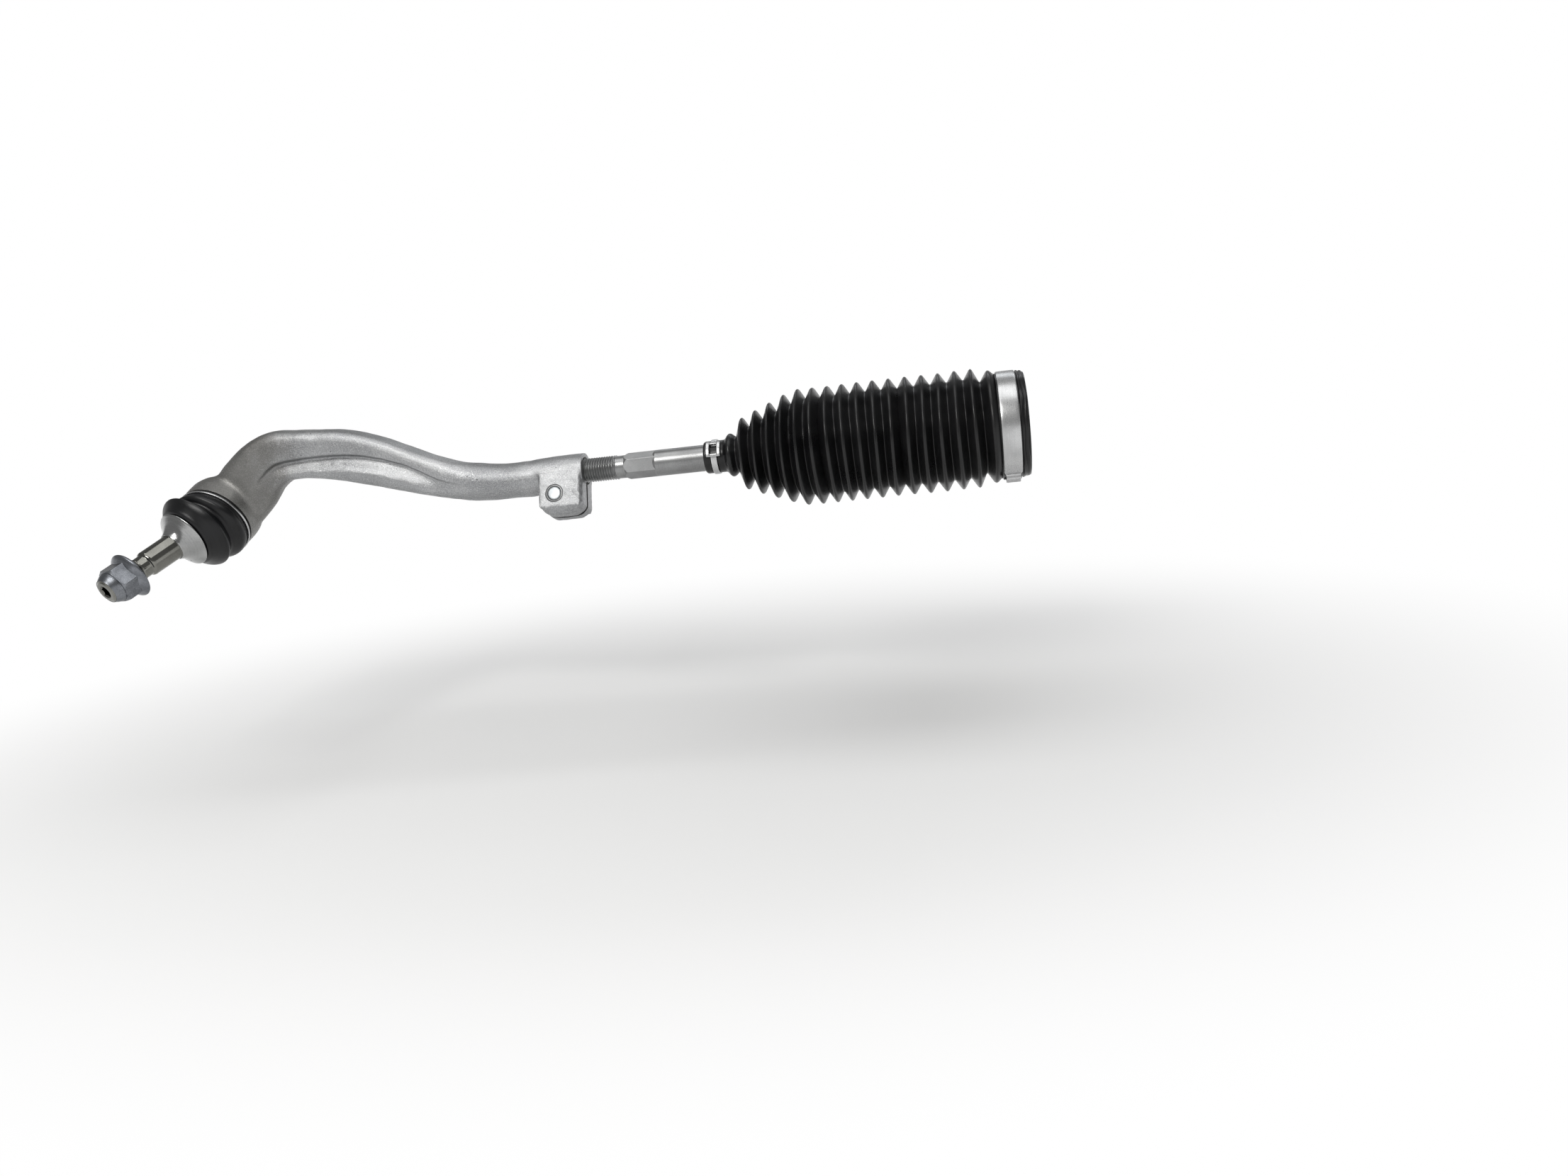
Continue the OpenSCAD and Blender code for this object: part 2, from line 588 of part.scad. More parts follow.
// Outline of the boot's outside: radius, distance along the axis, share of the stud's tilt
boot_outside = let (r = boot_d / 2, w = boot_waist_d / 2, a = neck_a0, l = collar_rim - neck_a0) [
    [r - 0.9, a + 0.013 * l, 0], [r - 0.9, a + 0.196 * l, 0], [r, a + 0.268 * l, 0.05],
    [r, a + 0.357 * l, 0.2], [r - 1.4, a + 0.42 * l, 0.3], [w, a + 0.464 * l, 0.4],
    [w, a + 0.509 * l, 0.5], [r - 1, a + 0.571 * l, 0.65], [r + 0.8, a + 0.625 * l, 0.8],
    [r + 0.8, a + 0.67 * l, 0.9], [r - 0.2, a + 0.737 * l, 1], [r - 1.8, a + 0.804 * l, 1],
    [r - 3.3, a + 0.87 * l, 1], [r - 4.6, a + 0.9375 * l, 1], [r - 6.4, a + 0.975 * l, 1],
    [boot_top_r + 2.8, collar_rim - 0.5, 1], [boot_top_r + 0.4, collar_rim + 0.2, 1],
    [boot_top_r, stud_ring_a, 1], [boot_top_r, stud_ring_a + 1.5, 1]];
boot_around = 40;

function boot_point(p, turn) = let (
        q = p[2] * stud_tilt, x = p[0] * cos(turn), y = p[0] * sin(turn))
    [x * cos(q) + p[1] * sin(q), y, -x * sin(q) + p[1] * cos(q)];
// The wall's inner side: each outer point moved in by the wall, square to the outline
function boot_inner(k) = let (
        p = boot_outside[k], a = boot_outside[max(0, k - 1)], b = boot_outside[min(len(boot_outside) - 1, k + 1)],
        d = [b[0] - a[0], b[1] - a[1]], l = norm(d))
    [p[0] - boot_wall * d[1] / l, p[1] + boot_wall * d[0] / l, p[2]];

module dust_boot() {
    last = len(boot_outside) - 1;
    inner_foot = boot_neck_d / 2 + 0.7;
    inside = [for (k = [last:-1:0]) let (p = boot_inner(k)) [max(p[0], k < 3 ? inner_foot : 0), p[1], p[2]]];
    outline = concat(boot_outside, inside);
    m = len(outline);
    points = [for (p = outline) for (j = [0:boot_around - 1]) boot_point(p, 360 * j / boot_around)];
    faces = [for (i = [0:m - 1]) for (j = [0:boot_around - 1]) let (
            i1 = (i + 1) % m, j1 = (j + 1) % boot_around, n = boot_around)
        [i * n + j, i1 * n + j, i1 * n + j1, i * n + j1]];
    color("#141414") at_outer() rotate([0, 0, stud_tilt_toward])
        polyhedron(points = points, faces = faces, convexity = 8);
}

module boot_stud_ring() {
    color("#c9cccd") at_stud() translate([0, 0, stud_ring_a]) ring(boot_top_r + 0.1, boot_top_r + 0.9, 1.4);
}

module ball_stud() {
    r = stud_d / 2;
    neck_r = stud_neck_d / 2;
    relief_r = stud_relief_d / 2;
    thread_r = stud_thread_d / 2 - thread_gap;
    color("#b9bbbd") at_stud() difference() {
        union() {
            sphere(r = outer_ball_r);
            rotate_extrude() polygon([
                [0, 0], [neck_r, 0], [neck_r, 20], [stud_grip_r, 25], [stud_grip_r, collar_bore_a0],
                [collar_seat_r, collar_bore_a0], [collar_seat_r, collar_top], [r, collar_top],
                [r, stud_shank_end - 1], [relief_r, stud_shank_end], [relief_r, stud_thread_a0],
                [thread_r, stud_thread_a0 + 0.8], [thread_r, stud_end - 1.2],
                [thread_r - 1.2, stud_end], [0, stud_end]]);
        }
        translate([0, 0, stud_end - 6]) cylinder(r = stud_socket_af / 2 / cos(30), h = 6 + cut, $fn = 6);
    }
}

module stud_collar() {
    bore_r = collar_seat_r + 0.02;
    rim_r = collar_d / 2;
    rim = collar_rim;
    room_r = boot_top_r + 1.4;
    color("#c4c8c9") at_stud() rotate_extrude() polygon([
        [rim_r - 0.4, rim], [rim_r, rim + 0.4], [rim_r - 0.3, rim + 0.9], [rim_r - 1.5, rim + 1.9],
        [rim_r - 3.1, rim + 3.2], [rim_r - 5.1, rim + 4.6], [rim_r - 6.8, rim + 6.1],
        [rim_r - 8, rim + 7.6], [bore_r + 0.7, collar_top - 0.3], [bore_r + 0.4, collar_top],
        [bore_r, collar_top], [bore_r, collar_bore_a0 + 0.02], [room_r, collar_bore_a0 + 0.02],
        [rim_r - collar_wall - 1.5, rim + 1.6], [rim_r - collar_wall, rim]]);
}

module stud_nut() {
    flange_r = nut_flange_d / 2;
    collar_r = nut_af / 2 - 0.2;
    color("#b4b7b8") at_stud() difference() {
        union() {
            rotate_extrude() polygon([
                [0, nut_seat], [flange_r - 0.6, nut_seat], [flange_r, nut_seat + 0.7],
                [flange_r, nut_seat + 1.8], [flange_r - 1.6, nut_seat + 3.2],
                [nut_af / 2, nut_hex_a0 + 1.8], [0, nut_hex_a0 + 1.8]]);
            intersection() {
                translate([0, 0, nut_hex_a0 - 1]) rotate([0, 0, 30])
                    cylinder(r = nut_af / 2 / cos(30), h = nut_collar_a0 - nut_hex_a0 + 1, $fn = 6);
                translate([0, 0, nut_hex_a0 - 1]) cylinder(r1 = nut_af + 1,
                    r2 = nut_af / 2 + 0.3, h = nut_collar_a0 - nut_hex_a0 + 1);
            }
            rotate_extrude() polygon([
                [0, nut_collar_a0 - 1], [collar_r, nut_collar_a0 - 1], [collar_r - 0.3, nut_collar_a0 + 0.9],
                [collar_r - 1.2, nut_collar_a0 + 2.4], [collar_r - 2, nut_end - 1],
                [collar_r - 2.6, nut_end], [0, nut_end]]);
        }
        translate([0, 0, nut_seat - cut]) cylinder(r = nut_bore_r, h = nut_end - nut_seat + 2 * cut);
        translate([0, 0, nylon_a0]) cylinder(r = nut_bore_r + 1.3, h = nylon_l);
        translate([0, 0, nut_end - 1]) cylinder(r = nut_bore_r, h = 1 + cut);
    }
}

module nut_locking_ring() {
    color("#e9e9e4") at_stud() translate([0, 0, nylon_a0 + 0.2])
        ring(nut_bore_r + 0.03, nut_bore_r + 1.25, nylon_l - 0.4);
}

rack_joint_socket();
rack_ball_seat();
rack_seat_ring();
gaiter();
gaiter_large_clamp();
gaiter_small_clamp();
tie_rod();
outer_end();
ear_thread_insert();
clamp_bolt();
clamp_washer();
outer_ball_seat();
outer_end_cover();
boot_housing_ring();
dust_boot();
boot_stud_ring();
ball_stud();
stud_collar();
stud_nut();
nut_locking_ring();
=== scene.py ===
"""Steering tie rod, dressed for looks.

Shapes are written in millimetres and put into meshes in metres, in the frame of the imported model. Each shape is a
grid of points worked out from two parameters: an outline turned round an axis, or a section carried along a path.
"""
import math

import bmesh
import bpy
import numpy as np
from mathutils import Matrix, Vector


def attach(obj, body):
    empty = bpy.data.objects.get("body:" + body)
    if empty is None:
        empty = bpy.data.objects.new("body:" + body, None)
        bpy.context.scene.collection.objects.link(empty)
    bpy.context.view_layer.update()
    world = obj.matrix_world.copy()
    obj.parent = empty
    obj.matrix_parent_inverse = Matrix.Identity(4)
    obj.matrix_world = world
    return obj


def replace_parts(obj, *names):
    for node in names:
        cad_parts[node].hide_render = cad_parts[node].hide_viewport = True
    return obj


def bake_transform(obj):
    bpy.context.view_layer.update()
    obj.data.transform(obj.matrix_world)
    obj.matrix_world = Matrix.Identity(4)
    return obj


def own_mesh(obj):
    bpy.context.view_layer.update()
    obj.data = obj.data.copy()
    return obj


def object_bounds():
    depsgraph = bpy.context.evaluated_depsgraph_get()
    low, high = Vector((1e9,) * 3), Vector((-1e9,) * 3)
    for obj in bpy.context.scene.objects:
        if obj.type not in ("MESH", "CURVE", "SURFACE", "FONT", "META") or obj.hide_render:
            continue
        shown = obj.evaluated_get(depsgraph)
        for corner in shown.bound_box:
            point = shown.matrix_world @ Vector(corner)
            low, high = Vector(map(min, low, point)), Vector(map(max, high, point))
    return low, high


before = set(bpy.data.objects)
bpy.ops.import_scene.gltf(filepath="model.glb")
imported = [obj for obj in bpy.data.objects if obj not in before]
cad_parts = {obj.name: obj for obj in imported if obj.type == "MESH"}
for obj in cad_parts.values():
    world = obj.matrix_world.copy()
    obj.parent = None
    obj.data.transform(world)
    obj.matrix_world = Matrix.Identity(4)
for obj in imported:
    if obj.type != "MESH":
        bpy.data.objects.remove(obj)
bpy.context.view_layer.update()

MM = 0.001

# Sizes of the tie rod in millimetres. BALL is the middle of the outer ball. Names with X, and EAR_END, are places on
# the rod's axis. EAR_FOOT is a height in the frame of the ears. The rest are lengths, widths, depths and radii.

INNER_X = -34.0
BALL = np.array((-411.5, -3.8, -1.0))
TUBE_X = -183.5
THREAD_X0 = -229.5
THREAD_X1 = -164.5
RELIEF_X1 = -159.5
HEX_X1 = -141.0
EAR_X = -209.5
ARM_L = 202.0
ARM_BOW, ARM_H, ARM_T, TUBE_D, FLUTE = 28.2, 30.5, 17.6, 20.8, 3.6
CUFF_X0, CUFF_X1 = -112.497, -97.497
SMALL_BAND_X, LARGE_BAND_X = -106.3, 57.5
ROD_R, THREAD_R, RELIEF_R, PITCH, GROOVE = 7.5, 6.95, 6.5, 1.5, 0.86
EAR_FOOT, EAR_END = -26.3, TUBE_X + 0.8
# Turns in degrees: the housing, the stud's lean from the housing's axis, and the ears round the rod
HOUSING_YAW, HOUSING_TILT = -98.9, 111
LEAN_WAY, STUD_LEAN = -109.4, 14
EAR_TURN = -28


def turning(axis, degrees):
    """Rotation about one axis as three rows of numbers."""
    return np.array(Matrix.Rotation(math.radians(degrees), 3, axis))


WORLD = (np.eye(3), np.zeros(3))
ROD = (turning("Y", 90), np.zeros(3))
INNER = (turning("Y", -90), np.array((INNER_X, 0.0, 0.0)))
HOUSING_TURN = turning("Z", HOUSING_YAW) @ turning("Y", HOUSING_TILT)
HOUSING = (HOUSING_TURN, BALL)
TOWARDS_LEAN = HOUSING_TURN @ turning("Z", LEAN_WAY)
STUD = (TOWARDS_LEAN @ turning("Y", STUD_LEAN), BALL)
LEAN = turning("X", EAR_TURN)
EARS = (LEAN, np.zeros(3))
BOLT = (LEAN @ turning("X", 90), LEAN @ np.array((-199.62, 0.0, -14.4)))


def at(place, points):
    """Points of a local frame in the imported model's frame: turned, then moved."""
    turn, origin = place
    return np.asarray(points, float) @ turn.T + origin


# Meshes

def closed_mesh(name, points, quads):
    """A mesh from points in millimetres and four-cornered faces. Points that meet are merged, which closes seams and
    poles, and the faces are turned outwards."""
    mesh = bpy.data.meshes.new(name)
    mesh.vertices.add(len(points))
    mesh.vertices.foreach_set("co", (np.asarray(points) * MM).astype(np.float32).ravel())
    mesh.loops.add(quads.size)
    mesh.loops.foreach_set("vertex_index", quads.astype(np.int32).ravel())
    mesh.polygons.add(len(quads))
    mesh.polygons.foreach_set("loop_start", np.arange(0, quads.size, 4, dtype=np.int32))
    mesh.update(calc_edges=True)
    work = bmesh.new()
    work.from_mesh(mesh)
    bmesh.ops.remove_doubles(work, verts=work.verts, dist=1e-6)
    bmesh.ops.recalc_face_normals(work, faces=work.faces)
    work.to_mesh(mesh)
    work.free()
    mesh.validate()
    return mesh


def capped(grid):
    """The grid with a row more at each end, all of it at the middle of the end row, which closes that end."""
    first, last = (np.broadcast_to(grid[n].mean(0), grid[0].shape)[None] for n in (0, -1))
    return np.concatenate([first, grid, last])


def in_scene(name, data):
    """A new object with the given mesh, lamp or camera, in the scene."""
    obj = bpy.data.objects.new(name, data)
    bpy.context.scene.collection.objects.link(obj)
    return obj


def grid_object(name, grid, round_rows=False):
    """An object from a grid of points, rows by columns. Columns always run all the way round; rows do where round_rows
    is true."""
    rows, columns = grid.shape[:2]
    i = np.arange(rows if round_rows else rows - 1)[:, None]
    j = np.arange(columns)[None, :]
    i1, j1 = (i + 1) % rows, (j + 1) % columns
    quads = np.stack([i * columns + j, i * columns + j1, i1 * columns + j1, i1 * columns + j], -1).reshape(-1, 4)
    return in_scene(name, closed_mesh(name, grid.reshape(-1, 3), quads))


def rounded(corners, steps=5):
    """An outline of (radius, place, rounding) with its corners rounded. Each corner becomes a quadratic curve between
    the points that lie its rounding before and after it."""
    c = np.array([(*k, 0.0)[:3] for k in corners], float)
    p, reach = c[:, :2], c[:, 2:3]
    to_before, to_after = np.roll(p, 1, 0) - p, np.roll(p, -1, 0) - p
    l_before = np.linalg.norm(to_before, axis=1, keepdims=True) + 1e-9
    l_after = np.linalg.norm(to_after, axis=1, keepdims=True) + 1e-9
    a = p + to_before / l_before * np.minimum(reach, 0.48 * l_before)
    b = p + to_after / l_after * np.minimum(reach, 0.48 * l_after)
    t = np.linspace(0, 1, steps)[None, :, None]
    curve = ((1 - t) ** 2 * a[:, None] + 2 * t * (1 - t) * p[:, None] + t * t * b[:, None]).reshape(-1, 2)
    keep = np.ones(len(curve), bool)
    keep[1:] = np.linalg.norm(np.diff(curve, axis=0), axis=1) > 1e-5
    return curve[keep]


def flowing(points, steps):
    """A smooth curve through points of any width: the Catmull-Rom cubic between each pair, with doubled ends."""
    p = np.asarray(points, float)
    p = np.vstack([p[:1], p, p[-1:]])
    t = np.linspace(0, 1, steps, endpoint=False)[None, :, None]
    a, b, c, d = p[:-3, None], p[1:-2, None], p[2:-1, None], p[3:, None]
    curve = 0.5 * (2 * b + (c - a) * t + (2 * a - 5 * b + 4 * c - d) * t ** 2 + (3 * b - a - 3 * c + d) * t ** 3)
    return np.vstack([curve.reshape(-1, p.shape[1]), p[-1:]])


def ball_outline(radius, centre, first, last):
    """Part of a circle as an outline: radius times the sine, and centre plus radius times the cosine, of each angle."""
    angle = np.radians(np.linspace(first, last, 28))
    return np.stack([radius * np.sin(angle), centre + radius * np.cos(angle)], 1)


def with_thread(outline, first, last, pitch, rows_a_turn=10):
    """The outline with even rows added between two places, fine enough for a thread there."""
    r, a = outline.T
    rows = np.arange(first, last, pitch / rows_a_turn)
    k = np.searchsorted(a, (first + last) / 2)
    between = np.stack([np.full(len(rows), r[k]), rows], 1)
    return np.vstack([outline[a < first], between, outline[a > last]])


def turned(name, outline, place, around=96, closed=False, thread=None, wave=None):
    """A turned piece: each outline point (radius, place) goes round the axis. A thread takes from the radius a groove
    whose depth is a flattened triangle wave of place over pitch plus the angle over a turn, faded out at both ends."""
    outline = np.asarray(outline, float)
    if thread:
        first, last, pitch, depth = thread
        outline = with_thread(outline, first, last, pitch)
    angle = np.linspace(0, 2 * math.pi, around, endpoint=False)[None, :]
    r, a = outline[:, :1] + 0 * angle, outline[:, 1:2] + 0 * angle
    if thread:
        phase = (a / pitch + angle / (2 * math.pi)) % 1
        groove = np.clip(1.35 * (1 - np.abs(2 * phase - 1)) - 0.12, 0, 1)
        fade = np.clip((a - first) / pitch, 0, 1) * np.clip((last - a) / (0.8 * pitch), 0, 1)
        r = np.where((a >= first) & (a <= last), r - depth * groove * fade, r)
    if wave is not None:
        r, a = wave(r, a, angle)
    grid = np.stack([r * np.cos(angle), r * np.sin(angle), a], -1)
    return grid_object(name, at(place, grid), round_rows=closed)


def prism(name, plan, low, high, place):
    """A straight prism: a plan outline (x, y) carried from low to high, closed by a pole at each end."""
    plan = np.asarray(plan, float)
    middle = np.broadcast_to(plan.mean(0), plan.shape)
    rows = [np.column_stack([xy, np.full(len(plan), z)]) for xy, z in
            ((middle, low), (plan, low), (plan, high), (middle, high))]
    return grid_object(name, at(place, np.array(rows)))


def hexagon(across_flats, rounding, turn=0.0):
    """Plan of a hexagon with one corner at the given turn, its corners rounded."""
    angle = np.radians(turn + np.arange(0, 360, 60))
    r = across_flats / 2 / math.cos(math.radians(30))
    return rounded(np.column_stack([r * np.cos(angle), r * np.sin(angle), np.full(6, rounding)]), steps=4)


def block(name, low, high, place):
    """A plain cutting block between two corners."""
    (x0, y0, z0), (x1, y1, z1) = low, high
    return prism(name, [(x0, y0), (x1, y0), (x1, y1), (x0, y1)], z0, z1, place)


def settled(obj):
    """Makes what the modifiers give the object's own mesh."""
    bpy.context.view_layer.update()
    mesh = bpy.data.meshes.new_from_object(obj.evaluated_get(bpy.context.evaluated_depsgraph_get()))
    obj.modifiers.clear()
    obj.data = mesh
    return obj


def cut(obj, *cutters, operation="DIFFERENCE"):
    """Takes each cutter out of the object, or joins or intersects them, and removes the cutters."""
    for cutter in cutters:
        before = len(obj.data.vertices)
        for solver in ("MANIFOLD", "EXACT"):
            kept = obj.data
            change = obj.modifiers.new("cut", "BOOLEAN")
            change.operation, change.object, change.solver = operation, cutter, solver
            settled(obj)
            if len(obj.data.vertices) > 3 and len(obj.data.vertices) != before:
                break
            obj.data = kept
        bpy.data.objects.remove(cutter)
    return obj


def joined(obj, *others):
    """Puts the meshes of other pieces into the first one."""
    work = bmesh.new()
    for o in (obj, *others):
        work.from_mesh(o.data)
    work.to_mesh(obj.data)
    work.free()
    for o in others:
        bpy.data.objects.remove(o)
    return obj


def remeshed(obj, voxel):
    """One even skin over all the closed shapes in the object, with cells of the given size in millimetres."""
    change = obj.modifiers.new("skin", "REMESH")
    change.mode, change.voxel_size, change.adaptivity = "VOXEL", voxel * MM, 0.0
    return settled(obj)


def points_of(mesh):
    """The mesh's points in millimetres."""
    co = np.empty(len(mesh.vertices) * 3, np.float32)
    mesh.vertices.foreach_get("co", co)
    return co.reshape(-1, 3).astype(float) / MM


def put_points(mesh, points):
    """Puts points in millimetres into the mesh."""
    mesh.vertices.foreach_set("co", (points * MM).astype(np.float32).ravel())
    mesh.update()


def faces_of(mesh):
    """Middles of the mesh's faces in millimetres, and their normals."""
    middle, normal = (np.empty(len(mesh.polygons) * 3, np.float32) for _ in range(2))
    mesh.polygons.foreach_get("center", middle)
    mesh.polygons.foreach_get("normal", normal)
    return middle.reshape(-1, 3) / MM, normal.reshape(-1, 3)


def softened(obj, share, rounds):
    """Each point moves by its share towards the mean of its neighbours, round after round."""
    mesh = obj.data
    edges = np.empty(len(mesh.edges) * 2, np.int32)
    mesh.edges.foreach_get("vertices", edges)
    a, b = edges.reshape(-1, 2).T
    p, n = points_of(mesh), len(mesh.vertices)
    count = np.maximum(np.bincount(a, minlength=n) + np.bincount(b, minlength=n), 1)[:, None]
    share = np.asarray(share, float).reshape(-1, 1)
    for _ in range(rounds):
        total = np.stack([np.bincount(a, p[b, k], n) + np.bincount(b, p[a, k], n) for k in range(3)], 1)
        p += share * (total / count - p)
    put_points(mesh, p)
    return obj


def unevenness(points, wavelength, seed):
    """A smooth field between about -1 and 1: the mean of twelve sine waves of one wavelength in seeded directions."""
    rng = np.random.default_rng(seed)
    direction = rng.normal(size=(12, 3))
    direction /= np.linalg.norm(direction, axis=1, keepdims=True)
    phase = rng.uniform(0, 2 * math.pi, 12)
    return np.sin(points @ direction.T * (2 * math.pi / wavelength) + phase).sum(1) / 4.5


def step(x, low, high):
    """0 below low, 1 above high, and the smooth cubic step between."""
    t = np.clip((np.asarray(x, float) - low) / (high - low), 0, 1)
    return t * t * (3 - 2 * t)


# Node groups that several finishes share

def new_group(name, inputs, outputs):
    """A node group with its sockets, and its input and output nodes."""
    g = bpy.data.node_groups.new(name, "ShaderNodeTree")
    for label, kind, value in inputs:
        s = g.interface.new_socket(label, in_out="INPUT", socket_type=kind)
        if value is not None:
            s.default_value = value
    for label in outputs:
        g.interface.new_socket(label, in_out="OUTPUT", socket_type="NodeSocketFloat")
    return g, g.nodes.new("NodeGroupInput"), g.nodes.new("NodeGroupOutput")


def node(tree, kind, terms, **settings):
    """Adds a shader node with its settings. Each term, a socket or a plain value, goes to the input of that name."""
    n = tree.nodes.new(kind)
    for key, value in settings.items():
        setattr(n, key, value)
    for key, term in terms.items():
        if isinstance(term, bpy.types.NodeSocket):
            tree.links.new(term, n.inputs[key])
        else:
            n.inputs[key].default_value = term
    return n


def reckon(tree, operation, a, b):
    """A Math node."""
    return node(tree, "ShaderNodeMath", {0: a, 1: b}, operation=operation).outputs[0]


def spread(tree, value, low, high, to_low=0.0, to_high=1.0, smooth=True):
    """A Map Range node from low..high to to_low..to_high."""
    terms = {"Value": value, "From Min": low, "From Max": high, "To Min": to_low, "To Max": to_high}
    curve = "SMOOTHSTEP" if smooth else "LINEAR"
    return node(tree, "ShaderNodeMapRange", terms, interpolation_type=curve).outputs["Result"]


VECTOR, FLOAT = "NodeSocketVector", "NodeSocketFloat"


def noise(tree, vector, scale, detail, roughness=0.5):
    """A noise from 0 to 1."""
    terms = {"Vector": vector, "Scale": scale, "Detail": detail, "Roughness": roughness}
    return node(tree, "ShaderNodeTexNoise", terms).outputs["Fac"]


def grain_group():
    """Fine grains and broad clouds, two layers of noise. Tone adds them, the fine ones weighted by Fine share."""
    g, i, o = new_group("Grain and clouds", [("Vector", VECTOR, None), ("Fine scale", FLOAT, 1500.0),
                                            ("Broad scale", FLOAT, 60.0), ("Fine share", FLOAT, 0.5)],
                        ["Broad", "Tone"])
    vector, share = i.outputs["Vector"], i.outputs["Fine share"]
    fine = spread(g, noise(g, vector, i.outputs["Fine scale"], 3.0, 0.6), 0.3, 0.7)
    broad = spread(g, noise(g, vector, i.outputs["Broad scale"], 4.0, 0.55), 0.3, 0.7)
    tone = reckon(g, "ADD", reckon(g, "MULTIPLY", fine, share),
                  reckon(g, "MULTIPLY", broad, reckon(g, "SUBTRACT", 1.0, share)))
    g.links.new(broad, o.inputs["Broad"])
    g.links.new(tone, o.inputs["Tone"])
    return g


def pits_group():
    """Small pits: cells of a Voronoi texture with a ragged rim, kept where a broad noise is over Rarity."""
    g, i, o = new_group("Pits", [("Vector", VECTOR, None), ("Scale", FLOAT, 160.0), ("Size", FLOAT, 0.16),
                                 ("Rarity", FLOAT, 0.58)], ["Mask"])
    vector = i.outputs["Vector"]
    cells = node(g, "ShaderNodeTexVoronoi", {"Vector": vector, "Scale": i.outputs["Scale"]}).outputs["Distance"]
    cells = reckon(g, "ADD", cells, reckon(g, "MULTIPLY", noise(g, vector, 900.0, 2.0), 0.12))
    rim = reckon(g, "ADD", i.outputs["Size"], 0.06)
    inside = spread(g, reckon(g, "SUBTRACT", 1.0, reckon(g, "DIVIDE", cells, rim)), 0.0, 0.25)
    where = reckon(g, "GREATER_THAN", noise(g, vector, 48.0, 1.0), i.outputs["Rarity"])
    g.links.new(reckon(g, "MULTIPLY", inside, where), o.inputs["Mask"])
    return g


def lines_group():
    """Marks of a cutting tool: a one-dimensional noise of the place along the axis."""
    g, i, o = new_group("Tool marks", [("Place", FLOAT, 0.0), ("Lines", FLOAT, 3000.0)], ["Value"])
    terms = {"W": i.outputs["Place"], "Scale": i.outputs["Lines"], "Detail": 3.0, "Roughness": 0.7}
    marks = node(g, "ShaderNodeTexNoise", terms, noise_dimensions="1D").outputs["Fac"]
    g.links.new(spread(g, marks, 0.3, 0.7), o.inputs["Value"])
    return g


GRAIN, PITS, LINES = grain_group(), pits_group(), lines_group()


def group_outputs(tree, group, terms):
    """Outputs of a node group that is put to use in the tree."""
    return node(tree, "ShaderNodeGroup", terms, node_tree=group).outputs


def grain_of(tree, coords, fine, broad, share):
    """Outputs of the grain group at the given scales."""
    terms = {"Vector": coords, "Fine scale": fine, "Broad scale": broad, "Fine share": share}
    return group_outputs(tree, GRAIN, terms)


def pits_of(tree, coords, scale, size, rarity):
    """Mask of the pits group."""
    return group_outputs(tree, PITS, {"Vector": coords, "Scale": scale, "Size": size, "Rarity": rarity})["Mask"]


def new_finish(name, metallic, specular=0.5):
    """A material with its Principled shader, and Object coordinates to work from."""
    m = bpy.data.materials.new(name)
    m.use_nodes = True
    t = m.node_tree
    shader = t.nodes["Principled BSDF"]
    shader.inputs["Metallic"].default_value = metallic
    shader.inputs["Specular IOR Level"].default_value = specular
    coords = t.nodes.new("ShaderNodeTexCoord").outputs["Object"]
    return m, t, shader, coords


def mixed(tree, share, low, high):
    """A colour between two, each a socket or three numbers."""
    low, high = ((*c, 1.0) if isinstance(c, tuple) else c for c in (low, high))
    return node(tree, "ShaderNodeMix", {0: share, 6: low, 7: high}, data_type="RGBA").outputs[2]


def completed(m, shader, colour, roughness, height, strength, distance):
    """Links colour, roughness and a bump, whose distance is in millimetres, to the shader."""
    t = m.node_tree
    bump = node(t, "ShaderNodeBump", {"Height": height, "Strength": strength, "Distance": distance * MM})
    for key, source in (("Base Color", colour), ("Roughness", roughness), ("Normal", bump.outputs["Normal"])):
        t.links.new(source, shader.inputs[key])
    return m


def along(tree, coords, place):
    """Place along a local axis, from Object coordinates, by a Mapping node that undoes the axis's turn."""
    turn = Matrix(place[0].tolist()).inverted()
    m = node(tree, "ShaderNodeMapping", {"Vector": coords, "Rotation": turn.to_euler("XYZ")[:]})
    return node(tree, "ShaderNodeSeparateXYZ", {"Vector": m.outputs["Vector"]}).outputs["Z"]


def metal_finish(name, dark, light, metallic, smooth, rough, broad=70.0, share=0.35, bump=0.12, lines=None, pits=None):
    """A bare or plated metal: cloudy tone, roughness that follows it, tool marks round an axis and dark pits."""
    m, t, shader, coords = new_finish(name, metallic)
    tone = height = grain_of(t, coords, 1800.0, broad, share)["Tone"]
    if lines:
        place, count, weight = lines
        marks = group_outputs(t, LINES, {"Place": along(t, coords, place), "Lines": count})["Value"]
        tone = reckon(t, "ADD", reckon(t, "MULTIPLY", tone, 1 - weight), reckon(t, "MULTIPLY", marks, weight))
        height = reckon(t, "ADD", reckon(t, "MULTIPLY", height, 0.4), marks)
    colour = mixed(t, tone, dark, light)
    roughness = spread(t, tone, 0.0, 1.0, rough, smooth, smooth=False)
    if pits:
        mask = pits_of(t, coords, *pits)
        colour = mixed(t, mask, colour, (0.05, 0.048, 0.045))
        height = reckon(t, "SUBTRACT", height, reckon(t, "MULTIPLY", mask, 3.0))
        roughness = reckon(t, "ADD", roughness, reckon(t, "MULTIPLY", mask, 0.3))
    return completed(m, shader, colour, roughness, height, bump, 0.08)


# Between these places along the rod's axis, in metres, the casting turns to the housing's own tone and painted shade
HOUSING_TONE_AND_SHADE = (-0.375, -0.335)


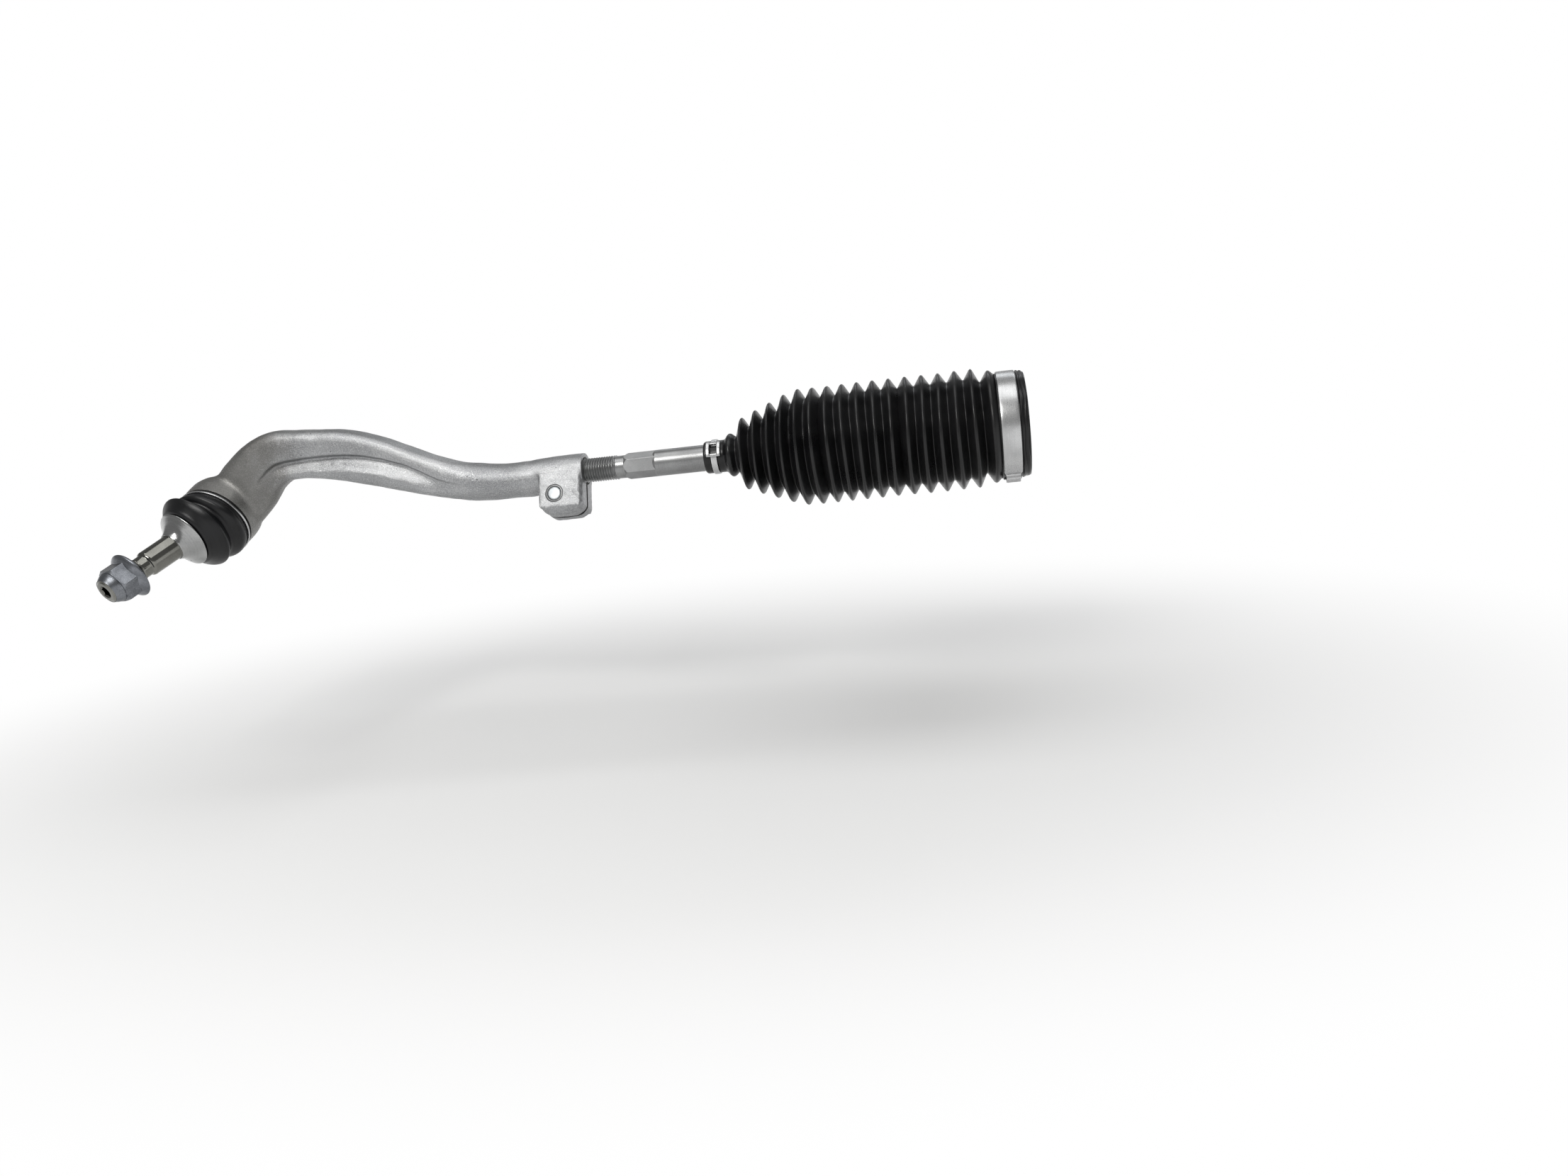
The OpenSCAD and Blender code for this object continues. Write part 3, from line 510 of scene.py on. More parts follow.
def cast_finish(name, dark, light, shaded, rough):
    """Cast aluminium: speckled grain, broad clouds, rare nicks, and a darker, browner housing, partly painted shade."""
    m, t, shader, coords = new_finish(name, 0.8, 0.45)
    grain = grain_of(t, coords, 2200.0, 34.0, 0.6)
    speckle = spread(t, noise(t, coords, 1350.0, 4.0, 0.7), 0.44, 0.68)
    tone = reckon(t, "ADD", reckon(t, "MULTIPLY", grain["Tone"], 0.6), reckon(t, "MULTIPLY", speckle, 0.4))
    colour = mixed(t, tone, dark, light)
    x = node(t, "ShaderNodeSeparateXYZ", {"Vector": coords}).outputs["X"]
    x = reckon(t, "ADD", x, reckon(t, "MULTIPLY", grain["Broad"], 0.02))
    # Painted shade with the housing's own browner tone: the colour darkens towards the housing
    near = reckon(t, "MULTIPLY", spread(t, x, *HOUSING_TONE_AND_SHADE, 1.0, 0.0), 0.75)
    colour = mixed(t, near, colour, mixed(t, tone, shaded, tuple(c * 1.75 for c in shaded)))
    mask = pits_of(t, coords, 230.0, 0.10, 0.62)
    colour = mixed(t, reckon(t, "MULTIPLY", mask, 0.7), colour, (0.05, 0.05, 0.05))
    roughness = spread(t, tone, 0.0, 1.0, rough + 0.12, rough - 0.06, smooth=False)
    height = reckon(t, "SUBTRACT", reckon(t, "ADD", grain["Tone"], speckle), reckon(t, "MULTIPLY", mask, 2.0))
    return completed(m, shader, colour, roughness, height, 0.36, 0.12)


def rubber_finish(name, dark, light, smooth, rough, dust):
    """Moulded rubber: near black with broad paler clouds, a fine skin texture and a little dust."""
    m, t, shader, coords = new_finish(name, 0.0, 0.4)
    grain = grain_of(t, coords, 2400.0, 55.0, 0.3)
    colour = mixed(t, grain["Tone"], dark, light)
    specks = pits_of(t, coords, 420.0, 0.2, 0.55)
    veil = reckon(t, "ADD", reckon(t, "MULTIPLY", grain["Broad"], dust), reckon(t, "MULTIPLY", specks, 2.2 * dust))
    colour = mixed(t, veil, colour, (0.075, 0.073, 0.07))
    roughness = spread(t, grain["Broad"], 0.0, 1.0, smooth, rough, smooth=False)
    return completed(m, shader, colour, roughness, grain["Tone"], 0.16, 0.05)


def plastic_finish(name, dark, light):
    """Moulded plastic with faint flow clouds."""
    m, t, shader, coords = new_finish(name, 0.0)
    grain = grain_of(t, coords, 1500.0, 90.0, 0.2)
    roughness = spread(t, grain["Broad"], 0.0, 1.0, 0.34, 0.5, smooth=False)
    return completed(m, shader, mixed(t, grain["Tone"], dark, light), roughness, grain["Tone"], 0.08, 0.04)


# The third colour is the housing's darker, browner colour, partly its own tone and partly painted shade
cast_skin = cast_finish("Cast aluminium", (0.22, 0.226, 0.235), (0.62, 0.625, 0.63), (0.14, 0.136, 0.125), rough=0.35)
cast_bored = metal_finish("Bored aluminium", (0.16, 0.16, 0.155), (0.34, 0.34, 0.335), 0.7, 0.4, 0.6,
                          lines=(ROD, 1600.0, 0.5), bump=0.25)
rod_metal = metal_finish("Rod steel", (0.21, 0.212, 0.212), (0.37, 0.373, 0.375), 0.85, 0.28, 0.4, broad=45.0,
                         lines=(ROD, 1500.0, 0.14), bump=0.08, pits=(210.0, 0.09, 0.64))
rod_flats = metal_finish("Milled flats", (0.34, 0.345, 0.35), (0.46, 0.465, 0.47), 0.4, 0.42, 0.55, broad=110.0,
                         bump=0.16)
polished = metal_finish("Polished stud", (0.13, 0.13, 0.118), (0.24, 0.238, 0.218), 1.0, 0.06, 0.13, broad=60.0,
                        lines=(STUD, 2600.0, 0.15), bump=0.025)
dish_metal = metal_finish("Dish metal", (0.27, 0.273, 0.272), (0.44, 0.443, 0.44), 0.95, 0.13, 0.24, broad=90.0,
                          share=0.25, bump=0.08, pits=(210.0, 0.13, 0.57), lines=(STUD, 1900.0, 0.15))
nut_metal = metal_finish("Nut steel", (0.12, 0.127, 0.14), (0.26, 0.272, 0.295), 0.9, 0.22, 0.36, broad=120.0,
                         bump=0.1, pits=(230.0, 0.12, 0.6))
zinc_metal = metal_finish("Zinc plate", (0.36, 0.38, 0.395), (0.50, 0.525, 0.54), 0.6, 0.3, 0.44, broad=160.0)
band_metal = metal_finish("Stainless band", (0.44, 0.443, 0.446), (0.66, 0.663, 0.666), 0.85, 0.22, 0.36, broad=80.0,
                          lines=(ROD, 2600.0, 0.35), bump=0.1)
ring_metal = metal_finish("Spring ring", (0.36, 0.362, 0.365), (0.56, 0.562, 0.565), 0.95, 0.2, 0.32, bump=0.08)
forged_metal = metal_finish("Forged steel", (0.16, 0.165, 0.17), (0.32, 0.325, 0.33), 0.85, 0.34, 0.5, broad=90.0,
                            lines=(ROD, 1100.0, 0.4), bump=0.18, pits=(180.0, 0.12, 0.6))
gaiter_skin = rubber_finish("Bellows rubber", (0.004, 0.004, 0.0045), (0.010, 0.010, 0.011), 0.27, 0.38, 0.02)
boot_skin = rubber_finish("Boot rubber", (0.003, 0.003, 0.0038), (0.006, 0.0065, 0.008), 0.3, 0.42, 0.015)
cup_plastic = plastic_finish("Cup plastic", (0.66, 0.64, 0.57), (0.78, 0.76, 0.70))
nylon = plastic_finish("Nylon", (0.74, 0.74, 0.71), (0.86, 0.86, 0.83))


def dressed(mesh, *materials):
    """Gives the mesh these materials and no others."""
    mesh.materials.clear()
    for m in materials:
        mesh.materials.append(m)


def shown(obj, body, slot, *nodes, material=None, edge=38):
    """Finishes a piece: its material, smooth shading with sharp edges kept, the body it rides on and the
    nodes it stands for. The slot it is given is not used."""
    mesh = obj.data
    if material is not None:
        dressed(mesh, material)
    mesh.polygons.foreach_set("use_smooth", np.ones(len(mesh.polygons), bool))
    mesh.set_sharp_from_angle(angle=math.radians(edge))
    mesh.update()
    if body:
        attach(obj, body)
    if nodes:
        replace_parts(obj, *nodes)
    return obj


# Outer end: arm, housing, clamp tube and ears

ARM_STATIONS = np.array([
    (0.030, 0, 0.56 * ARM_H, 0.56 * ARM_T, 0),
    (0.089, 0.396 * ARM_BOW, 0.611 * ARM_H, 0.56 * ARM_T, 0.22 * FLUTE),
    (0.153, 0.791 * ARM_BOW, 0.547 * ARM_H, 0.55 * ARM_T, 0.55 * FLUTE),
    (0.213, 0.985 * ARM_BOW, 0.514 * ARM_H, 0.52 * ARM_T, 0.8 * FLUTE),
    (0.277, ARM_BOW, 0.468 * ARM_H, ARM_T / 2, FLUTE),
    (0.342, 0.958 * ARM_BOW, 0.473 * ARM_H, ARM_T / 2, FLUTE),
    (0.421, 0.869 * ARM_BOW, 0.496 * ARM_H, ARM_T / 2, FLUTE),
    (0.505, 0.696 * ARM_BOW, 0.484 * ARM_H, ARM_T / 2, FLUTE),
    (0.584, 0.484 * ARM_BOW, 0.442 * ARM_H, ARM_T / 2, 0.9 * FLUTE),
    (0.663, 0.270 * ARM_BOW, 0.398 * ARM_H, 0.52 * ARM_T, 0.6 * FLUTE),
    (0.748, 0.086 * ARM_BOW, 0.370 * ARM_H, 0.55 * ARM_T, 0.2 * FLUTE),
    (0.822, -0.006 * TUBE_D, 0.538 * TUBE_D, 0.51 * TUBE_D, 0),
    (0.891, -0.050 * TUBE_D, 0.502 * TUBE_D, 0.5 * TUBE_D, 0),
    (0.960, -0.058 * TUBE_D, 0.510 * TUBE_D, 0.5 * TUBE_D, 0),
    (1.010, -0.029 * TUBE_D, 0.475 * TUBE_D, 0.47 * TUBE_D, 0),
    (1.055, 0, 0.440 * TUBE_D, 0.44 * TUBE_D, 0)])
# Share of the arm's length, and the height there of the flute's upper edge over the arm's middle
CREASE = np.array([(0.06, -7.6), (0.10, -6.4), (0.15, -4.6), (0.197, -3.3), (0.268, -2.2), (0.34, -0.6), (0.412, 1.3),
                   (0.477, 2.9), (0.539, 3.9), (0.603, 4.1), (0.647, 2.8), (0.699, 0.6), (0.76, 0.0)])


def arm_sections():
    """The arm: sections carried along the stations. A section is a superellipse, height times the sine of the angle,
    less a flute on each side. The flute falls steeply under its upper edge and rises slowly to the lower land."""
    s = np.arange(0.1, len(ARM_STATIONS) - 1.04, 0.06)
    last = len(ARM_STATIONS) - 1
    k = np.floor(s).astype(int)
    t = (s - k)[:, None]
    a, b, c, d = (ARM_STATIONS[np.clip(k + n, 0, last)] for n in (-1, 0, 1, 2))
    q = 0.5 * (2 * b + (c - a) * t + (2 * a - 5 * b + 4 * c - d) * t ** 2 + (3 * b - a - 3 * c + d) * t ** 3)
    share, height, half_h, half_t, depth = q.T[:, :, None]
    slope = np.arctan2(np.gradient(height[:, 0]), ARM_L * np.gradient(share[:, 0]))[:, None]
    angle = np.linspace(-math.pi, math.pi, 120, endpoint=False)[None, :]
    z = half_h * np.sin(angle)
    squareness = 2 + 1.6 * np.minimum(1, np.maximum(depth, 0) / FLUTE)
    y = half_t * np.maximum(0, 1 - np.abs(z / half_h) ** squareness) ** (1 / squareness)
    under = np.interp(share, CREASE[:, 0], CREASE[:, 1]) - z
    flute = step(under, -0.5, 1.0) * (1 - step(under, 0.8, 11.5)) * 1.4 * depth
    y = (y - np.minimum(flute, 0.75 * y)) * np.sign(np.cos(angle))
    x = BALL[0] + ARM_L * share - z * np.sin(slope)
    grid = np.stack([x, y, height + z * np.cos(slope)], -1)
    return capped(grid)


def ear_block():
    """Both ears as one block: the side outline, a rectangle with two rounded lower corners, is carried across the
    width and drawn in towards the outer faces, more at the bottom than at the side. A slow sine along each edge makes
    it as uneven as a cast edge."""
    corner = 8.0
    quarter, even = np.radians(np.linspace(0, 90, 12)), np.linspace(1.0, EAR_FOOT + corner, 16)[:-1]
    right = np.stack([EAR_END - corner + corner * np.cos(quarter), EAR_FOOT + corner - corner * np.sin(quarter)], 1)
    left = np.stack([EAR_X + corner - corner * np.sin(quarter), EAR_FOOT + corner - corner * np.cos(quarter)], 1)
    outline = np.vstack([np.stack([0 * even + EAR_END, even], 1), right, left, [(EAR_X, 1.0)]])
    rows = []
    for y, side, foot, top in ((-10.5, 2.3, 3.9, -2.6), (-10.1, 1.7, 3.2, -2.0), (-7.0, 0.0, 0.0, -0.5),
                               (7.0, 0.0, 0.0, -0.5), (10.1, 1.7, 3.2, -2.0), (10.5, 2.3, 3.9, -2.6)):
        x = np.minimum(outline[:, 0], EAR_END - side * (1 + 0.2 * np.sin(1.6 * outline[:, 1])))
        z = np.clip(outline[:, 1], EAR_FOOT + foot * (1 + 0.1 * np.sin(1.3 * outline[:, 0])), top)
        rows.append(np.column_stack([np.maximum(x, EAR_X + 0.25 * side), np.full(len(x), y), z]))
    return grid_object("ears", at(EARS, capped(np.array(rows))))


# Cell size of the casting's skin, rounds of smoothing, and how far the skin is drawn in
CAST_CELL, CAST_ROUNDS, CAST_INSET = 0.68, 26, 0.16


def make_outer_end():
    arm = grid_object("outer_end_casting", arm_sections())
    housing = turned("housing", rounded([(0, -15.6), (17.1, -15.6, 0.8), (18.9, -12, 2), (21.6, -7.2, 3), (22.5, -3, 2),
                                         (22.5, 3, 2), (22.2, 8.5), (21.4, 14.8), (0, 14.8)]), HOUSING)
    tube = turned("tube", rounded([(0, -225.5), (8.6, -225.5), (10.4, -204.5, 6), (10.4, TUBE_X + 1.2),
                                   (0, TUBE_X + 1.2)]), ROD)
    body = remeshed(joined(arm, housing, tube, ear_block()), CAST_CELL)
    p = points_of(body.data)
    # Cast fillets: most smoothing where the arm meets the housing and where the ears meet the tube
    from_ball = np.linalg.norm(p - BALL, axis=1)
    e = p @ LEAN
    near_housing = step(from_ball, 17, 22) * (1 - step(from_ball, 30, 40))
    near_ears = step(e[:, 0], -216, -210) * (1 - step(np.abs(e[:, 2] + 3.0), 3.0, 7.0))
    softened(body, 0.045 + 0.55 * np.maximum(near_housing, 0.08 * near_ears), CAST_ROUNDS)
    p = points_of(body.data)
    normals = np.empty(len(p) * 3, np.float32)
    body.data.vertices.foreach_get("normal", normals)
    lumps = 0.10 * unevenness(p, 17, 3) + 0.05 * unevenness(p, 6.5, 5)
    in_ears = step(p[:, 0], -212, -208) * step(-e[:, 2], 3, 8)
    lumps += in_ears * (0.10 * unevenness(p, 4.2, 8) + 0.08)
    put_points(body.data, p + normals.reshape(-1, 3) * (lumps - CAST_INSET)[:, None])
    cut(body,
        block("end", (TUBE_X, -40, -60), (TUBE_X + 30, 40, 40), WORLD),
        block("slit", (EAR_X + 0.4, -1.1, -40), (-170, 1.1, 0), EARS),
        turned("bore", [(0, -240.5), (6.98, -240.5), (6.98, TUBE_X - 1.1), (8.2, TUBE_X + 0.1), (8.2, -170),
                        (0, -170)], ROD),
        turned("front hole", [(0, -0.2), (4.92, -0.2), (4.92, 9.9), (5.35, 10.5), (5.35, 14), (0, 14)], BOLT,
               around=64),
        turned("rear hole", [(0, -14), (4.4, -14), (4.4, 0.2), (0, 0.2)], BOLT, around=64),
        turned("shoulder", [(0, 14), (19.6, 14), (19.6, 7), (27.5, 7), (30, 24), (0, 24)], HOUSING, around=128),
        turned("cavity", [(0, -32), (16.2, -32), (16.2, -13.4), (15.3, -13.4), (15.3, 8.4), (11.5, 8.4), (14.9, 15),
                          (0, 15)], HOUSING, around=128))
    mesh = body.data
    dressed(mesh, cast_skin, cast_bored)
    centre, normal = faces_of(mesh)
    e, en = centre @ LEAN, normal @ LEAN
    from_rod = np.hypot(centre[:, 1], centre[:, 2])
    along_bore = (centre[:, 0] > -241) & (centre[:, 0] < TUBE_X + 0.05)
    bored = (from_rod < 8.3) & along_bore & (np.abs(normal[:, 0]) < 0.9)
    bored |= (np.abs(np.abs(e[:, 1]) - 1.1) < 0.02) & (np.abs(en[:, 1]) > 0.99) & (e[:, 0] > -216)
    h = (centre - BALL) @ HOUSING_TURN
    bored |= (np.hypot(h[:, 0], h[:, 1]) < 16.4) & (h[:, 2] > -18) & (h[:, 2] < 14.1)
    mesh.polygons.foreach_set("material_index", bored.astype(np.int32))
    shown(body, "outer_end", "cast_aluminium", "outer_end", edge=32)


make_outer_end()

shown(turned("outer_end_cover_plate", rounded([(0, -14.5), (8.7, -14.5, 0.4), (9.4, -15.0, 0.4), (15.9, -15.0, 0.3),
                                               (16.1, -13.45, 0.2), (0, -13.45)]), HOUSING),
      "outer_end", "zinc_steel", "outer_end_cover", material=zinc_metal)
shown(turned("boot_spring_ring", rounded([(21.5, 8.6, 0.3), (22.3, 8.7, 0.3), (22.3, 9.8, 0.3), (21.5, 9.9, 0.3)]),
             HOUSING, around=160, closed=True),
      "outer_end", "ring_steel", "boot_housing_ring", material=ring_metal)
shown(turned("ear_insert", rounded([(4.0, 1.1), (4.9, 1.1), (4.9, 10.3, 0.1), (4.4, 10.4, 0.1), (4.0, 9.9, 0.1)]),
             BOLT, closed=True), "outer_end", "zinc_steel", "ear_thread_insert", material=rod_metal)


def make_bolt():
    shank = turned("clamp_screw", rounded([(0, -11.64), (3.95, -11.64), (3.95, 9.9, 0.3), (3.5, 10.55, 0.35),
                                           (0, 10.65)]), BOLT, around=72, thread=(-6.0, 9.2, 1.25, 0.5))
    head = prism("head", hexagon(13, 0.4), -16.94, -11.64, BOLT)
    cone = turned("cone", [(0, -16.94), (5.9, -16.94), (8.2, -15.2), (9.5, -11), (0, -11)], BOLT)
    cut(head, cone, operation="INTERSECT")
    dish = turned("dish", rounded([(0, -16.2, 0.2), (3.6, -16.2, 0.6), (4.4, -17.6), (0, -17.6)]), BOLT)
    cut(head, dish)
    return joined(shank, head)


shown(make_bolt(), "clamp_bolt", "zinc_steel", "clamp_bolt", material=zinc_metal)
shown(turned("clamp_screw_washer", rounded([(4.2, -11.62, 0.15), (8, -11.62, 0.35), (8, -10.02, 0.35),
                                            (4.2, -10.02, 0.15)]), BOLT, closed=True),
      "clamp_washer", "zinc_steel", "clamp_washer", material=zinc_metal)


# Rod

def make_rod():
    """The rod is turned with its thread, its hexagon is cut, and the hexagon's flats get their own material."""
    ball = ball_outline(13.5, INNER_X, 152, 0)
    outline = np.vstack([rounded([
        (0, THREAD_X0), (5.75, THREAD_X0, 0.3), (THREAD_R, THREAD_X0 + 1.2, 0.3), (THREAD_R, THREAD_X1 - 0.6, 0.2),
        (RELIEF_R, THREAD_X1, 0.3), (RELIEF_R, RELIEF_X1, 0.3), (ROD_R, RELIEF_X1 + 2, 0.3),
        (ROD_R, SMALL_BAND_X - 2.6, 0.2), (7.0, SMALL_BAND_X - 2.1, 0.2), (7.0, SMALL_BAND_X + 2.1, 0.2),
        (ROD_R, SMALL_BAND_X + 2.6, 0.2), (ROD_R, -76, 4), (6.3, -62, 4), (6.3, -46.0)]), ball])
    rod = turned("threaded_rod", outline, ROD, around=112, thread=(THREAD_X0 + 0.6, THREAD_X1 - 0.2, PITCH, GROOVE))
    ring = turned("hexagon ring", [(0, -161), (11, -161), (11, -135.75), (6, -143.25), (0, -143.25)], ROD)
    cut(ring, prism("hexagon core", hexagon(13, 0.12, 48), -165, -130, ROD))
    cut(rod, ring)
    dressed(rod.data, rod_metal, rod_flats)
    centre, normal = faces_of(rod.data)
    on_flat = np.abs((centre * normal)[:, 1:].sum(1) - 6.5) < 0.02
    on_flat &= (np.abs(normal[:, 0]) < 0.01) & (centre[:, 0] > RELIEF_X1) & (centre[:, 0] < HEX_X1)
    rod.data.polygons.foreach_set("material_index", on_flat.astype(np.int32))
    return rod


shown(make_rod(), "rod", "rod_steel", "tie_rod", edge=24)


# Inner joint

def make_socket():
    outline = rounded([
        (0, -51), (7, -51, 0.3), (8, -50, 0.3), (8, -36.2, 0.2), (7, -35.6, 0.3), (7, -34, 0.3), (13, -34, 0.5),
        (13, -32, 0.4), (17, -29, 0.8), (18, -28, 0.8), (18, 7, 1), (16.4, 10, 1), (14.8, 11, 0.6), (12.5, 11, 0.3),
        (11.1, 8, 0.2), (16.2, 8), (16.2, -12.9), (13.2, -15.9), (0, -15.9)])
    socket = turned("rack_socket_body", outline, INNER, around=112)
    flats = [block("flat", (x0, -30, -32), (x1, 30, -20), INNER) for x0, x1 in ((-30, -16), (16, 30))]
    return cut(socket, *flats)


shown(make_socket(), "rack_socket", "forged_steel", "rack_joint_socket", material=forged_metal)


# Bellows

FOLDS = 18
fold = np.arange(FOLDS)
FOLD_X = CUFF_X1 + 8 * fold + 0.0346 * fold ** 2
FOLD_R = np.where(fold == 0, 13.2, np.minimum(33.7, 21.5 + 3.3 * (fold - 1)))
FOLD_R[-1] -= 1.9
VALLEY_X = (FOLD_X[:-1] + FOLD_X[1:]) / 2
VALLEY_R = np.maximum(np.minimum(FOLD_R[:-1], FOLD_R[1:]) - 7, 9.9)
WALL = 1.3


def bellows_piece(name, first, last, before=(), after=(), inner_before=(), inner_after=()):
    """Part of the bellows between two valleys, as one closed skin. Its outside goes from valley to crest to valley with
    rounded crests and tight valleys, and the inside follows it one wall further in."""
    k = np.arange(first, last + 1)
    zigzag = []
    for i in k:
        zigzag.append((FOLD_R[i], FOLD_X[i], 2.3))
        if i < last:
            zigzag.append((VALLEY_R[i], VALLEY_X[i], 1.2))
    left = [] if before else [(VALLEY_R[first - 1], VALLEY_X[first - 1], 0)]
    right = [] if after else [(VALLEY_R[last], VALLEY_X[last], 0)]
    outside = rounded([*before, *left, *zigzag, *right, *after], steps=9)
    inner = [(r - (WALL * 1.5 if n % 2 == 0 else WALL), x, 1.4) for n, (r, x, _) in enumerate(zigzag)]
    inner_left = [] if inner_before else [(VALLEY_R[first - 1] - WALL, VALLEY_X[first - 1], 0)]
    inner_right = [] if inner_after else [(VALLEY_R[last] - WALL, VALLEY_X[last], 0)]
    inside = rounded([*inner_before, *inner_left, *inner, *inner_right, *inner_after])

    def slack(r, a, angle):
        """Moulded folds are never quite true: the crest swells by a tenth of a millimetre or two round the piece."""
        swell = 0.12 * np.sin(3 * angle + a / 9) + 0.07 * np.sin(7 * angle - a / 5)
        return r - 0.2 + swell * step(r, 12, 24), a + 0.35 * step(r, 16, 30) * np.sin(2 * angle + a / 13)

    return turned(name, np.vstack([outside, inside[::-1]]), ROD, around=144, closed=True, wave=slack)


# The bellows is split in the valleys after these two folds
HELD, BENDING = 11, 6
CUFF_R = 9.3
cuff_outside = [
    (CUFF_R - 0.6, CUFF_X0, 0.2), (CUFF_R, CUFF_X0 + 0.8, 0.5), (CUFF_R, SMALL_BAND_X - 2.0, 0.3),
    (CUFF_R - 0.5, SMALL_BAND_X - 1.9, 0.2), (CUFF_R - 0.5, SMALL_BAND_X + 1.9, 0.2),
    (CUFF_R, SMALL_BAND_X + 2.0, 0.3), (CUFF_R, CUFF_X1 - 3.0, 1.2)]
cuff_inside = [(7.75, CUFF_X0, 0.2), (7.75, CUFF_X1 - 5, 0.6), (8.9, CUFF_X1 - 3.0, 0.6)]
# Where the folds end and the mouth begins
ROOT_X = 51.85
small = bellows_piece("bellows_small_end", 0, BENDING, before=cuff_outside, inner_before=cuff_inside)
shown(small, None, "gaiter_rubber", material=gaiter_skin, edge=26)
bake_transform(small)
middle = bellows_piece("bellows_middle", BENDING + 1, HELD)
shown(middle, None, "gaiter_rubber", material=gaiter_skin, edge=26)
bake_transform(middle)
large = bellows_piece("bellows_large_end", HELD + 1, FOLDS - 1, after=[(28.7, ROOT_X, 0)],
                      inner_after=[(27.4, ROOT_X, 0)])
shown(large, "rack_socket", "gaiter_rubber", material=gaiter_skin, edge=26)
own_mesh(large)


def wavy_lip(r, a, angle):
    """The lip of the mouth rolls outwards unevenly round the rim."""
    beyond = step(a, 62.9, 64.4) * step(r, 28.0, 28.6)
    roll = 0.6 * np.sin(5 * angle) + 0.4 * np.sin(11 * angle + 1)
    dip = 0.5 + 0.35 * np.sin(4 * angle + 0.7) + 0.2 * np.sin(9 * angle)
    return r - 0.5 * beyond + 0.4 * beyond * roll, a - beyond * dip


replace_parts(shown(turned("bellows_mouth", rounded([
    (28.7, ROOT_X, 0.1), (28.7, 62.9, 0.2), (29.5, 63.5, 0.4), (29.5, 64.9, 0.4), (28.9, 65.3, 0.2), (29.3, 65.9, 0.3),
    (29.2, 66.9, 0.4), (28.6, 67.4, 0.4), (27.2, 67.4, 0.4), (27.0, 53.5, 0.5), (27.4, ROOT_X, 0.1)]),
    ROD, around=160, closed=True, wave=wavy_lip), "gaiter_mouth", "gaiter_rubber", material=gaiter_skin), "gaiter")


def band(name, radius, width, middle, ear_turn, ear_height, ear_span, ear_width, window=0.0):
    """A clamp band: a rounded flat section carried round the axis. Its radius steps up over the pinched ear and its
    width changes to the ear's there. Angles are measured from the ear. Inside half a window's width of it, in radians,
    the band dips out of sight, where a buckle's window is open."""
    thick = 0.9
    angle = np.concatenate([np.linspace(-0.5, 0.5, 120, endpoint=False),
                            np.linspace(0.5, 2 * math.pi - 0.5, 150, endpoint=False)])
    span = ear_span / radius
    up = 1 - step(np.abs(angle), span * 0.36, span * 0.56)
    pinch = 1 - 0.35 * np.exp(-(angle / (0.16 * span)) ** 2)
    r = radius + 0.02 + up * pinch * (ear_height - thick)
    if window:
        r = r - 1.3 * (1 - step(np.abs(angle), window * 0.85, window))
    w = width + (ear_width - width) * (1 - step(np.abs(angle), span * 0.4, span * 0.9))
    section = rounded([(0, -0.5, 0.2), (thick, -0.5, 0.2), (thick, 0.5, 0.2), (0, 0.5, 0.2)], steps=4)
    rr = r[None, :] + section[:, :1]
    z = middle + w[None, :] * section[:, 1:2]
    theta = angle[None, :] + math.radians(ear_turn)
    grid = np.stack([rr * np.cos(theta), rr * np.sin(theta), z + 0 * theta], -1)
    return grid_object(name, at(ROD, grid), round_rows=True)


shown(band("mouth_band", 28.8, 9.7, LARGE_BAND_X, -30, 3.2, 7.0, 7.7), "gaiter_mouth", "band_steel",
      "gaiter_large_clamp", material=band_metal)


def arc_bar(name, radius, thick, first, last, x0, x1):
    """A short curved bar round the cuff: a rectangle of radius and x carried through an angle, closed by end poles."""
    angle = np.radians(np.linspace(first, last, 14))[:, None]
    plan = np.array([(radius, x0), (radius + thick, x0), (radius + thick, x1), (radius, x1)])
    r, x = plan.T[:, None, :]
    grid = np.stack([r * np.cos(angle), r * np.sin(angle), x + 0 * angle], -1)
    return grid_object(name, at(ROD, capped(grid)))


def make_cuff_clamp():
    """The narrow band with its buckle: two side rails and two cross bars over the band."""
    ring = band("cuff_band", 8.9, 3.4, SMALL_BAND_X, -128, 0.9, 4.0, 3.4, window=0.36)
    x = SMALL_BAND_X
    rails = [arc_bar("rail", 9.5, 1.5, -153, -103, x + s * 3.1 - 0.9, x + s * 3.1 + 0.9) for s in (-1, 1)]
    bars = [arc_bar("bar", 9.4, 1.25, a - 4.5, a + 4.5, x - 3.6, x + 3.6) for a in (-149.5, -106.5)]
    buckle = softened(remeshed(joined(*rails, *bars), 0.2), 0.3, 3)
    return joined(ring, buckle)


shown(make_cuff_clamp(), "gaiter_cuff", "band_steel", "gaiter_small_clamp", material=band_metal)


# Dust boot and what sits on the stud

# Where the boot begins over the ball's middle, its length and its radius
BOOT_A, BOOT_L, BOOT_R = 7.0, 22.4, 22.4
# Radius, share of the boot's length, and share of the stud's tilt
BOOT_OUTSIDE = np.array([
    (BOOT_R - 0.9, 0.013, 0), (BOOT_R - 0.9, 0.196, 0), (BOOT_R, 0.268, 0.05), (BOOT_R, 0.357, 0.2),
    (BOOT_R - 1.4, 0.42, 0.3), (19.5, 0.464, 0.4), (19.5, 0.509, 0.5), (BOOT_R - 1, 0.571, 0.65),
    (BOOT_R + 0.8, 0.625, 0.8), (BOOT_R + 0.8, 0.67, 0.9), (BOOT_R - 0.2, 0.737, 1), (BOOT_R - 1.8, 0.804, 1),
    (BOOT_R - 3.3, 0.87, 1), (BOOT_R - 4.6, 0.9375, 1), (BOOT_R - 6.4, 0.975, 1), (13.0, 0.978, 1), (10.6, 1.009, 1),
    (10.2, 1.0536, 1), (10.2, 1.12, 1)])
# Thickness of the wall, and the station between the two folds where the boot is split
BOOT_WALL, WAIST = 1.5, 5.5


